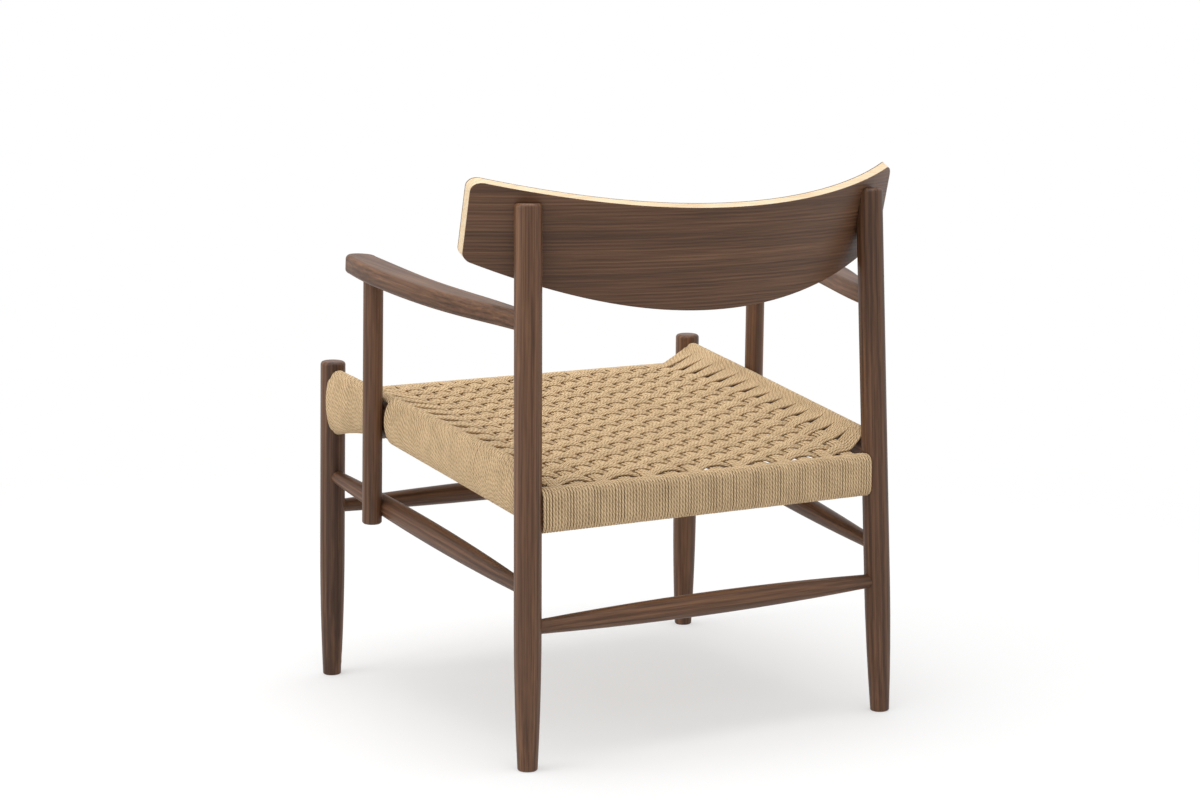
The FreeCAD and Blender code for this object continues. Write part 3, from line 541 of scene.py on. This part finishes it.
@dataclass
class SeatPlan:
    """Where the rails and the weave lie, from the frame and the chair's own sizes."""

    cord: float = 4.2 * MM
    warp_pitch: float = 35.5 * MM
    pitch: float = warp_pitch / 8.0         # eight cords in each step of the weave
    warp_count: int = 14
    warp_cords: int = 4
    weft_rows: int = 30
    weft_cords: int = 4
    end_gap: float = 1.6 * MM
    rail_corner: float = 8.2 * MM
    side_half_width: float = 13.6 * MM
    rail_set: float = 0.8 * MM              # the side rails meet the legs this far inside the cross rails
    fall_ratio: float = 0.42                # how far the lift at the sides reaches inwards
    lift_terms: int = 12
    tuck: float = 3.2 * MM                  # the outer rows are pushed this far against the cross rails
    edge_drop: float = 6.0 * MM             # the wefts reach the seat this far below the rail's top

    def __post_init__(self) -> None:
        """Read the rails' places from the frame."""
        self.rear_low, self.rear_high = (np.array(corner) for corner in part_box("rear_rail_wrap"))
        self.front_low, self.front_high = (np.array(corner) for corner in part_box("front_rail_wrap"))
        self.gap_front = float(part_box("side_wrap_left_front")[1].y)
        self.gap_rear = float(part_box("side_wrap_left_rear")[0].y)
        self.rear_edge = float(self.rear_low[1]) + self.tuck
        self.front_edge = float(self.front_high[1]) - self.tuck
        self.row_pitch = (self.rear_edge - self.front_edge) / self.weft_rows
        rear_middle = float(self.rear_low[1] + self.rear_high[1]) / 2.0
        front_middle = float(self.front_low[1] + self.front_high[1]) / 2.0
        self.rail = SideRail(rear_y=rear_middle - self.rail_set, front_y=front_middle + self.rail_set)

    def level(self, y: np.ndarray) -> np.ndarray:
        """Height of the net's middle: a straight line over the tops of the two cross rails."""
        rear_y = (self.rear_low[1] + self.rear_high[1]) / 2.0
        front_y = (self.front_low[1] + self.front_high[1]) / 2.0
        rear_z = self.rear_high[2] - self.cord / 2.0
        front_z = self.front_high[2] - self.cord / 2.0
        return rear_z + (front_z - rear_z) * (rear_y - y) / (rear_y - front_y)

    def lift(self, x: np.ndarray, y: np.ndarray) -> np.ndarray:
        """How far the side rails pull the net up.

        A stretched net: the sum over odd n of four over n pi, times the sine of n pi
        times the share of the depth, times cosh(k x) over cosh(k w) with k = n pi over
        the depth times the fall ratio, times the height of the side rail over the net.
        """
        depth = self.rear_edge - self.front_edge
        share = np.clip((self.rear_edge - y) / depth, 0.0, 1.0)
        inner = self.rail.centre_x(y) - self.side_half_width
        height = self.rail.top(y) - self.edge_drop - self.level(y)
        total = np.zeros(np.broadcast(x, y).shape)
        for n in range(1, 2 * self.lift_terms, 2):
            wave = n * math.pi / (depth * self.fall_ratio)
            reach = np.exp(wave * (np.minimum(np.abs(x), inner) - inner))
            calm = np.sinc(n / (2.0 * self.lift_terms))
            total = total + calm * 4.0 / (n * math.pi) * np.sin(n * math.pi * share) * reach
        return height * total

    def net(self, x: np.ndarray, y: np.ndarray) -> np.ndarray:
        """Height of the net's middle surface."""
        return self.level(y) + self.lift(x, y)

    def warp_x(self) -> np.ndarray:
        """The middle of each warp bundle."""
        return (np.arange(self.warp_count) - (self.warp_count - 1) / 2.0) * self.warp_pitch

    def row_y(self) -> np.ndarray:
        """The middle of each weft row, from the rear."""
        return self.rear_edge - (np.arange(self.weft_rows) + 0.5) * self.row_pitch

    def row_offsets(self) -> np.ndarray:
        """Places of one row's cords about its middle."""
        return (np.arange(self.weft_cords) - (self.weft_cords - 1) / 2.0) * self.row_pitch / self.weft_cords


def arc(centre: tuple[float, float], radii: tuple[float, float], first: float, last: float,
        count: int) -> np.ndarray:
    """Points of an elliptical arc: the centre plus the radii times cosine and sine, angles in degrees."""
    angles = np.radians(np.linspace(first, last, count))
    return np.stack([centre[0] + radii[0] * np.cos(angles), centre[1] + radii[1] * np.sin(angles)], axis=1)


def rounded_loop(low: np.ndarray, high: np.ndarray, corner: float, outward: int) -> np.ndarray:
    """Cord line round a rail's section, from its inner lower corner under, up the outside and over.

    Args:
        low: lowest y and z of the cord's centre line.
        high: highest y and z of it.
        corner: radius of its corners.
        outward: 1 when the outer face is at the high y, -1 when it is at the low y.

    Returns:
        Points of y and z: four quarter arcs, joined by straight runs.
    """
    inner_y, outer_y = (low[0], high[0]) if outward > 0 else (high[0], low[0])
    inner = inner_y + outward * corner
    outer = outer_y - outward * corner
    below, above = low[1] + corner, high[1] - corner
    radii = (outward * corner, corner)
    return np.concatenate([
        arc((inner, below), radii, 180.0, 270.0, CORNER_POINTS),
        arc((outer, below), radii, 270.0, 360.0, CORNER_POINTS),
        arc((outer, above), radii, 0.0, 90.0, CORNER_POINTS),
        arc((inner, above), radii, 90.0, 180.0, CORNER_POINTS),
    ])


class Pass(Enum):
    """How a weft row crosses a warp bundle."""

    OVER = 1
    UNDER = -1


@dataclass
class WovenSeat:
    """The seat: cords round every rail, warps from front to back and wefts from side to side."""

    plan: SeatPlan
    finish: PaperCordFinish
    rough: float = 0.12 * MM                # how unevenly the cords lie
    smoothing: int = 2
    weft_rise: float = 3.3 * MM             # how far a weft's middle goes over and under the net
    warp_rise: float = 1.9 * MM
    crown: float = 1.0 * MM                 # a bundle's two middle cords lie this much higher
    pinch: float = 0.965                    # cords of a bundle draw together by this much in the weave
    crown_fade: float = 14.0 * MM
    float_share: float = 0.9                # flat share of a weft's float over a warp
    points_per_row: int = 8
    points_per_warp: int = 12
    turn_points: int = 26
    seat_trim: int = 6                      # points of a warp left out next to each rail
    rail_trim: int = 4                      # points of its turn round the rail left out there
    rail_clearance: float = 0.2 * MM
    turn_lean: float = 0.25                 # share of a cord that one turn moves along the side rail
    under_angle: float = -155.0             # where a weft starts, low on the rail's inner face
    leave_angle: float = 128.0              # where it leaves the rail's top for the seat
    gap_angle: float = 55.0                 # where it starts behind an arm support
    pieces: list[bpy.types.Object] = field(default_factory=list)

    def __post_init__(self) -> None:
        """Start the seeded draws."""
        self.random = np.random.default_rng(SEED)
        self.radius = self.plan.cord / 2.0
        self.material = self.finish.material("paper_cord")

    def side_of(self, row: int, column: int) -> int:
        """1 where the weft row lies over the warp column, -1 where it lies under."""
        crossing = Pass.OVER if (row + column) % 2 == 0 else Pass.UNDER
        return crossing.value

    def bundle(self) -> CordBundle:
        """An empty bundle of this seat's cord."""
        return CordBundle(radius=self.radius * 1.02)

    def jitter(self) -> float:
        """One small uneven offset."""
        return float(self.random.normal(0.0, self.rough))

    def section(self, low: np.ndarray, high: np.ndarray, outward: int) -> np.ndarray:
        """Cord line round one cross rail, half a cord inside the box of its wrap."""
        inset = np.array([self.radius, self.radius])
        return rounded_loop(low[1:] + inset, high[1:] - inset, self.plan.rail_corner, outward)

    def finish_piece(self, cords: CordBundle, name: str, *nodes: str) -> None:
        """Make a bundle a piece that rides on the chair and stands for the given CAD nodes."""
        obj = cords.build(name)
        obj.data.materials.append(self.material)
        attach(obj, BODY)
        if nodes:
            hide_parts(*nodes)
        self.pieces.append(obj)
        LOG.info("%s: %d faces", name, len(obj.data.polygons))

    # -------------------------------------------------------------- cross rails
    def build_cross_wraps(self, name: str, node: str, low: np.ndarray, high: np.ndarray,
                          outward: int) -> None:
        """Plain turns round a cross rail, in the gaps between the warps and out to the legs.

        Args:
            name: the piece's name.
            node: the CAD node that it stands for.
            low: lowest corner of that node.
            high: highest corner of it.
            outward: 1 for the rear rail, -1 for the front rail.
        """
        plan = self.plan
        loop = self.section(low, high, outward)
        half = high[0] - plan.end_gap - self.radius
        turns = np.arange(-int(half / plan.pitch) - 1, int(half / plan.pitch) + 2) + 0.5
        places = turns * plan.pitch
        places = places[np.abs(places) < half]
        warp_places = (plan.warp_x()[:, None] + self.warp_offsets()[None, :]).ravel()
        clear = np.abs(places[:, None] - warp_places[None, :]).min(axis=1) > plan.pitch / 2.0
        places = places[clear]
        breaks = np.where(np.diff(places) > 1.5 * plan.pitch)[0] + 1
        cords = self.bundle()
        for group in np.split(places, breaks):
            turns_x = np.repeat([x + self.jitter() for x in group], len(loop))
            points = np.column_stack([turns_x, np.tile(loop, (len(group), 1))])
            cords.add(points, phase=float(self.random.random()), smoothing=self.smoothing)
        self.finish_piece(cords, name, node)

    def warp_offsets(self) -> np.ndarray:
        """Places of one bundle's cords about its middle."""
        plan = self.plan
        return (np.arange(plan.warp_cords) - (plan.warp_cords - 1) / 2.0) * plan.pitch

    # -------------------------------------------------------------- warps
    def warp_line(self, middle_x: float, offset: float, column: int, rear: np.ndarray,
                  front: np.ndarray) -> np.ndarray:
        """Centre line of one warp cord: round the rear rail, over and under the rows, round the front rail.

        Between the rails its height is the net's, less the warp's rise where a row lies
        over it and plus that rise where a row lies under it, eased from row to row.  The
        bundle is drawn together and crowned between the rails.

        Args:
            middle_x: the middle of its bundle.
            offset: its place from that middle.
            column: the bundle's number.
            rear: cord line round the rear rail.
            front: cord line round the front rail.

        Returns:
            The cord's points.
        """
        x = middle_x + offset
        plan = self.plan
        rows = plan.row_y()
        sides = np.array([self.side_of(row, column) for row in range(len(rows))], dtype=float)
        knots_y = np.concatenate([[plan.rear_edge], rows, [plan.front_edge]])
        knots_z = plan.net(np.full(len(knots_y), x), knots_y)
        knots_z[1:-1] -= sides * self.warp_rise
        fine_y = np.linspace(knots_y[0], knots_y[-1], self.points_per_row * len(knots_y))
        index = np.clip(np.searchsorted(-knots_y, -fine_y, side="right") - 1, 0, len(knots_y) - 2)
        share = (knots_y[index] - fine_y) / (knots_y[index] - knots_y[index + 1])
        fine_z = knots_z[index] + (knots_z[index + 1] - knots_z[index]) * smooth_step(share)
        from_end = np.minimum(plan.rear_edge - fine_y, fine_y - plan.front_edge)
        inside = smooth_step(from_end / self.crown_fade)
        fine_z = fine_z + inside * self.crown_height(offset, plan.pitch)
        fine_x = middle_x + offset * (1.0 - inside * (1.0 - self.pinch))
        middle = np.column_stack([fine_x, fine_y, fine_z])[self.seat_trim:-self.seat_trim]
        turns = (rear[:-self.rail_trim], front[:-self.rail_trim][::-1])
        ends = [np.column_stack([np.full(len(turn), x), turn]) for turn in turns]
        return np.concatenate([ends[0], middle, ends[1]])

    def crown_height(self, offset: float, pitch: float) -> float:
        """Rise of a cord in its bundle: the crown for a middle one, nothing for an outer one."""
        return self.crown if abs(offset) < pitch else 0.0

    def build_warps(self) -> None:
        """All warp cords."""
        plan = self.plan
        rear = self.section(plan.rear_low, plan.rear_high, 1)
        front = self.section(plan.front_low, plan.front_high, -1)
        cords = self.bundle()
        for column, middle in enumerate(plan.warp_x()):
            for offset in self.warp_offsets():
                line = self.warp_line(middle, offset + self.jitter(), column, rear, front)
                cords.add(line, phase=float(self.random.random()), smoothing=self.smoothing)
        self.finish_piece(cords, "warp_cords")

    # -------------------------------------------------------------- wefts
    def weft_line(self, row_middle: float, offset: float, row: int) -> np.ndarray:
        """Centre line of one weft cord: round one side rail, over and under the warps, round the other.

        On a side rail it follows an ellipse half a cord outside the wood.  Between the
        rails its height is the net's, plus the weft's rise where it lies over a warp and
        less that rise where it lies under, eased in the gap between two warps.  The
        bundle is drawn together and crowned between the outer warps.

        Args:
            row_middle: the middle of its row.
            offset: its place from that middle.
            row: the row's number.

        Returns:
            The cord's points.
        """
        y = row_middle + offset
        plan = self.plan
        warps = plan.warp_x()
        sides = np.array([self.side_of(row, column) for column in range(len(warps))], dtype=float)
        flat = 0.5 * plan.warp_cords * plan.pitch * self.float_share
        fine_x = np.linspace(warps[0] - flat, warps[-1] + flat, self.points_per_warp * len(warps))
        index = np.clip(np.searchsorted(warps, fine_x, side="right") - 1, 0, len(warps) - 2)
        share = (fine_x - warps[index] - flat) / (plan.warp_pitch - 2.0 * flat)
        over = sides[index] + (sides[index + 1] - sides[index]) * smooth_step(share)
        inside = smooth_step((fine_x[-1] - np.abs(fine_x)) / self.crown_fade)
        fine_z = plan.net(fine_x, np.full(len(fine_x), y)) + over * self.weft_rise
        fine_z = fine_z + inside * self.crown_height(offset, plan.row_pitch / plan.weft_cords)
        fine_y = row_middle + offset * (1.0 - inside * (1.0 - self.pinch))
        middle = np.column_stack([fine_x, fine_y, fine_z])
        left = self.side_turn(y)
        right = left * np.array([-1.0, 1.0, 1.0])
        return np.concatenate([right, middle, left[::-1]])

    def side_turn(self, y: float) -> np.ndarray:
        """The turn of one weft round the left side rail, from its end to where it leaves for the seat."""
        plan = self.plan
        depth = np.array(y)
        top, bottom = float(plan.rail.top(depth)), float(plan.rail.bottom(depth))
        clear = self.radius + self.rail_clearance
        radii = (plan.side_half_width + clear, (top - bottom) / 2.0 + clear)
        centre = (float(plan.rail.centre_x(depth)), (top + bottom) / 2.0)
        behind_support = plan.gap_front < y < plan.gap_rear
        first = self.gap_angle if behind_support else self.under_angle
        turn = arc(centre, radii, first, self.leave_angle, self.turn_points)
        lean = np.linspace(-0.5, 0.5, len(turn)) * plan.cord if not behind_support else np.zeros(len(turn))
        return np.column_stack([turn[:, 0], y + self.turn_lean * lean, turn[:, 1]])

    def build_wefts(self) -> None:
        """All weft cords, in three pieces from the rear to the front."""
        plan = self.plan
        names = ("weft_cords_rear", "weft_cords_middle", "weft_cords_front")
        stood_for = (
            ("side_wrap_left_rear", "side_wrap_right_rear"),
            ("seat_weave",),
            ("side_wrap_left_front", "side_wrap_right_front"),
        )
        rows = plan.row_y()
        for name, nodes, group in zip(names, stood_for, np.array_split(np.arange(len(rows)), len(names))):
            cords = self.bundle()
            for row in group:
                for offset in plan.row_offsets():
                    line = self.weft_line(rows[row], offset + self.jitter(), int(row))
                    cords.add(line, phase=float(self.random.random()), smoothing=self.smoothing)
            self.finish_piece(cords, name, *nodes)

    def build(self) -> None:
        """Make every cord of the seat."""
        plan = self.plan
        self.build_cross_wraps("rear_rail_cords", "rear_rail_wrap", plan.rear_low, plan.rear_high, 1)
        self.build_cross_wraps("front_rail_cords", "front_rail_wrap", plan.front_low, plan.front_high, -1)
        self.build_warps()
        self.build_wefts()


# ------------------------------------------------------------------ the wood and metal
@dataclass
class ChairFrame:
    """The walnut, plywood and steel pieces, which keep their own meshes."""

    nodes: dict[str, bpy.types.Object]
    walnut: WalnutFinish = WalnutFinish()
    veneer: WalnutFinish = WalnutFinish(
        light=(0.172, 0.086, 0.043),
        middle=(0.124, 0.059, 0.030),
        dark=(0.084, 0.040, 0.021),
        rings=66.0,
        flat=True,
    )
    edge: PlyEdgeFinish = PlyEdgeFinish()
    steel: SteelFinish = SteelFinish()
    end_share: float = 0.06                 # how much of a piece's length counts as its end
    wood_shift: float = 1.7                 # from one solid piece's pattern to the next one's
    veneer_shift: float = 2.9
    first_veneer: float = 5.3

    def dress(self, name: str, material: bpy.types.Material) -> None:
        """Give a CAD node one material."""
        obj = self.nodes[name]
        for slot in obj.material_slots:
            slot.material = material
        LOG.info("%s: %s", name, material.name)

    def grain_line(self, name: str) -> tuple[np.ndarray, np.ndarray]:
        """The line from the middle of a piece's low end to the middle of its high end, along its length."""
        mesh = self.nodes[name].data
        points = np.zeros(3 * len(mesh.vertices), dtype=np.float32)
        mesh.vertices.foreach_get("co", points)
        points = points.reshape(-1, 3).astype(float)
        size = points.max(axis=0) - points.min(axis=0)
        axis = int(np.argmax(size))
        band = self.end_share * size[axis]
        low = points[points[:, axis] < points[:, axis].min() + band]
        high = points[points[:, axis] > points[:, axis].max() - band]
        return (low.max(axis=0) + low.min(axis=0)) / 2.0, (high.max(axis=0) + high.min(axis=0)) / 2.0

    def build(self) -> None:
        """Dress every CAD node that stays."""
        solid_wood = sorted(
            name for name in self.nodes
            if name.startswith(("front_leg", "rear_post", "arm_", "side_stretcher"))
            or name in ("front_rail", "rear_rail", "side_rail_left", "side_rail_right",
                        "front_stretcher", "rear_stretcher", "back_screw_plugs")
        )
        for number, name in enumerate(solid_wood):
            start, end = self.grain_line(name)
            self.dress(name, self.walnut.material("walnut_" + name, start, end, self.wood_shift * number))
        for number, name in enumerate(("back_veneer_rear", "back_veneer_front")):
            low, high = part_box(name)
            start = np.array([low.x, 0.0, high.z])
            end = np.array([high.x, 0.0, high.z])
            shift = self.first_veneer + self.veneer_shift * number
            self.dress(name, self.veneer.material("walnut_" + name, start, end, shift))
        self.dress("back_core", self.edge.material("plywood_edge"))
        steel = self.steel.material("drawn_steel")
        for name in sorted(self.nodes):
            if "nails" in name or name.endswith("_screws"):
                self.dress(name, steel)


# ------------------------------------------------------------------ the studio
@dataclass(frozen=True)
class Lamp:
    """Square area lamp that looks at a target."""

    name: str
    place: tuple[float, float, float]
    target: tuple[float, float, float]
    size: float
    power: float

    def build(self) -> None:
        """Make the lamp."""
        data = bpy.data.lights.new(self.name, "AREA")
        data.size = self.size
        data.energy = self.power
        lamp = bpy.data.objects.new(self.name, data)
        lamp.location = self.place
        lamp.rotation_mode = "QUATERNION"
        look = Vector(np.array(self.target) - np.array(self.place))
        lamp.rotation_quaternion = look.to_track_quat("-Z", "Y")
        bpy.context.scene.collection.objects.link(lamp)


@dataclass
class Studio:
    """White studio: pale floor, soft light from above and the camera."""

    camera_place: tuple[float, float, float] = (1.7574, 3.0167, 0.9738)
    camera_target: tuple[float, float, float] = (-0.22596, -0.42297, 0.350)
    lens: float = 75.06
    sensor: float = 36.0
    floor_half: float = 30.0
    floor_colour: float = 0.55
    floor_bounce: float = 0.80              # the light that the floor throws back on the chair
    floor_glow: float = 0.405
    fade_start: float = 0.8
    fade_end: float = 2.0
    world_light: float = 0.75
    lamps: tuple[Lamp, ...] = (
        Lamp("top_light", (0.2, 0.2, 3.4), (0.0, 0.0, 0.3), size=3.2, power=62.0),
        Lamp("left_light", (3.2, -0.4, 1.9), (0.0, 0.0, 0.4), size=2.2, power=30.0),
    )

    def build(self) -> None:
        """Make the camera, the lamps, the world and the floor."""
        self.make_camera()
        self.make_floor()
        self.make_world()
        for lamp in self.lamps:
            lamp.build()
        view = bpy.context.scene.view_settings
        view.view_transform = "Standard"

    def make_camera(self) -> None:
        """Camera with no shift and no roll."""
        data = bpy.data.cameras.new("camera")
        data.lens = self.lens
        data.sensor_width = self.sensor
        data.clip_start, data.clip_end = 0.05, 200.0
        camera = bpy.data.objects.new("camera", data)
        place, target = np.array(self.camera_place), np.array(self.camera_target)
        camera.location = place
        camera.rotation_mode = "QUATERNION"
        look = Vector(target - place)
        camera.rotation_quaternion = look.to_track_quat("-Z", "Y")
        bpy.context.scene.collection.objects.link(camera)
        bpy.context.scene.camera = camera

    @staticmethod
    def seen_rays(nodes: bpy.types.NodeTree) -> bpy.types.Node:
        """1 for camera, glossy and transmission rays, so that what shines shows the white studio too."""
        path = nodes.nodes.new("ShaderNodeLightPath")
        total = nodes.nodes.new("ShaderNodeMath")
        total.operation = "MAXIMUM"
        nodes.links.new(path.outputs["Is Camera Ray"], total.inputs[0])
        nodes.links.new(path.outputs["Is Glossy Ray"], total.inputs[1])
        last = nodes.nodes.new("ShaderNodeMath")
        last.operation = "MAXIMUM"
        nodes.links.new(total.outputs[0], last.inputs[0])
        nodes.links.new(path.outputs["Is Transmission Ray"], last.inputs[1])
        return last

    def make_world(self) -> None:
        """World that is white where it is seen and gives an even light."""
        world = bpy.data.worlds.new("studio")
        bpy.context.scene.world = world
        world.use_nodes = True
        tree = world.node_tree
        background = tree.nodes["Background"]
        background.inputs["Color"].default_value = (1.0, 1.0, 1.0, 1.0)
        seen = self.seen_rays(tree)
        strength = tree.nodes.new("ShaderNodeMapRange")
        strength.inputs["To Min"].default_value = self.world_light
        strength.inputs["To Max"].default_value = 1.0
        tree.links.new(seen.outputs[0], strength.inputs["Value"])
        tree.links.new(strength.outputs[0], background.inputs["Strength"])

    def distance(self, tree: bpy.types.NodeTree) -> bpy.types.Node:
        """0 round the chair and 1 far from it, by the floor's own coordinates."""
        coordinates = tree.nodes.new("ShaderNodeTexCoord")
        length = tree.nodes.new("ShaderNodeVectorMath")
        length.operation = "LENGTH"
        tree.links.new(coordinates.outputs["Object"], length.inputs[0])
        fade = tree.nodes.new("ShaderNodeMapRange")
        fade.interpolation_type = "SMOOTHSTEP"
        fade.inputs["From Min"].default_value = self.fade_start
        fade.inputs["From Max"].default_value = self.fade_end
        tree.links.new(length.outputs["Value"], fade.inputs["Value"])
        return fade

    def make_floor(self) -> None:
        """Large plane at the feet: white where it is lit, softly grey in the chair's shadow."""
        half = self.floor_half
        verts = np.array([(-half, -half, 0.0), (half, -half, 0.0), (half, half, 0.0), (-half, half, 0.0)])
        floor = new_object("floor", verts, np.array([[0, 1, 2, 3]]))
        material = bpy.data.materials.new("floor_paper")
        material.use_nodes = True
        tree = material.node_tree
        tree.nodes.clear()
        output = tree.nodes.new("ShaderNodeOutputMaterial")
        mix = tree.nodes.new("ShaderNodeMixShader")
        bounce = tree.nodes.new("ShaderNodeBsdfDiffuse")
        bounce.inputs["Color"].default_value = (*([self.floor_bounce] * 3), 1.0)
        shaded = tree.nodes.new("ShaderNodeBsdfDiffuse")
        shaded.inputs["Color"].default_value = (*([self.floor_colour] * 3), 1.0)
        glow = tree.nodes.new("ShaderNodeEmission")
        glow.inputs["Color"].default_value = (1.0, 1.0, 1.0, 1.0)
        glow.inputs["Strength"].default_value = self.floor_glow
        both = tree.nodes.new("ShaderNodeAddShader")
        tree.links.new(shaded.outputs[0], both.inputs[0])
        tree.links.new(glow.outputs[0], both.inputs[1])
        plain = tree.nodes.new("ShaderNodeEmission")
        plain.inputs["Strength"].default_value = 1.0
        fade = tree.nodes.new("ShaderNodeMixShader")
        tree.links.new(self.distance(tree).outputs[0], fade.inputs[0])
        tree.links.new(both.outputs[0], fade.inputs[1])
        tree.links.new(plain.outputs[0], fade.inputs[2])
        tree.links.new(self.seen_rays(tree).outputs[0], mix.inputs[0])
        tree.links.new(bounce.outputs[0], mix.inputs[1])
        tree.links.new(fade.outputs[0], mix.inputs[2])
        tree.links.new(mix.outputs[0], output.inputs["Surface"])
        floor.data.materials.append(material)


def main() -> None:
    """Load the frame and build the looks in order."""
    logging.basicConfig(level=logging.INFO, format="%(name)s: %(message)s")
    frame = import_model()
    Studio().build()
    ChairFrame(frame["nodes"]).build()
    WovenSeat(SeatPlan(), PaperCordFinish()).build()


if __name__ == "__main__":
    main()
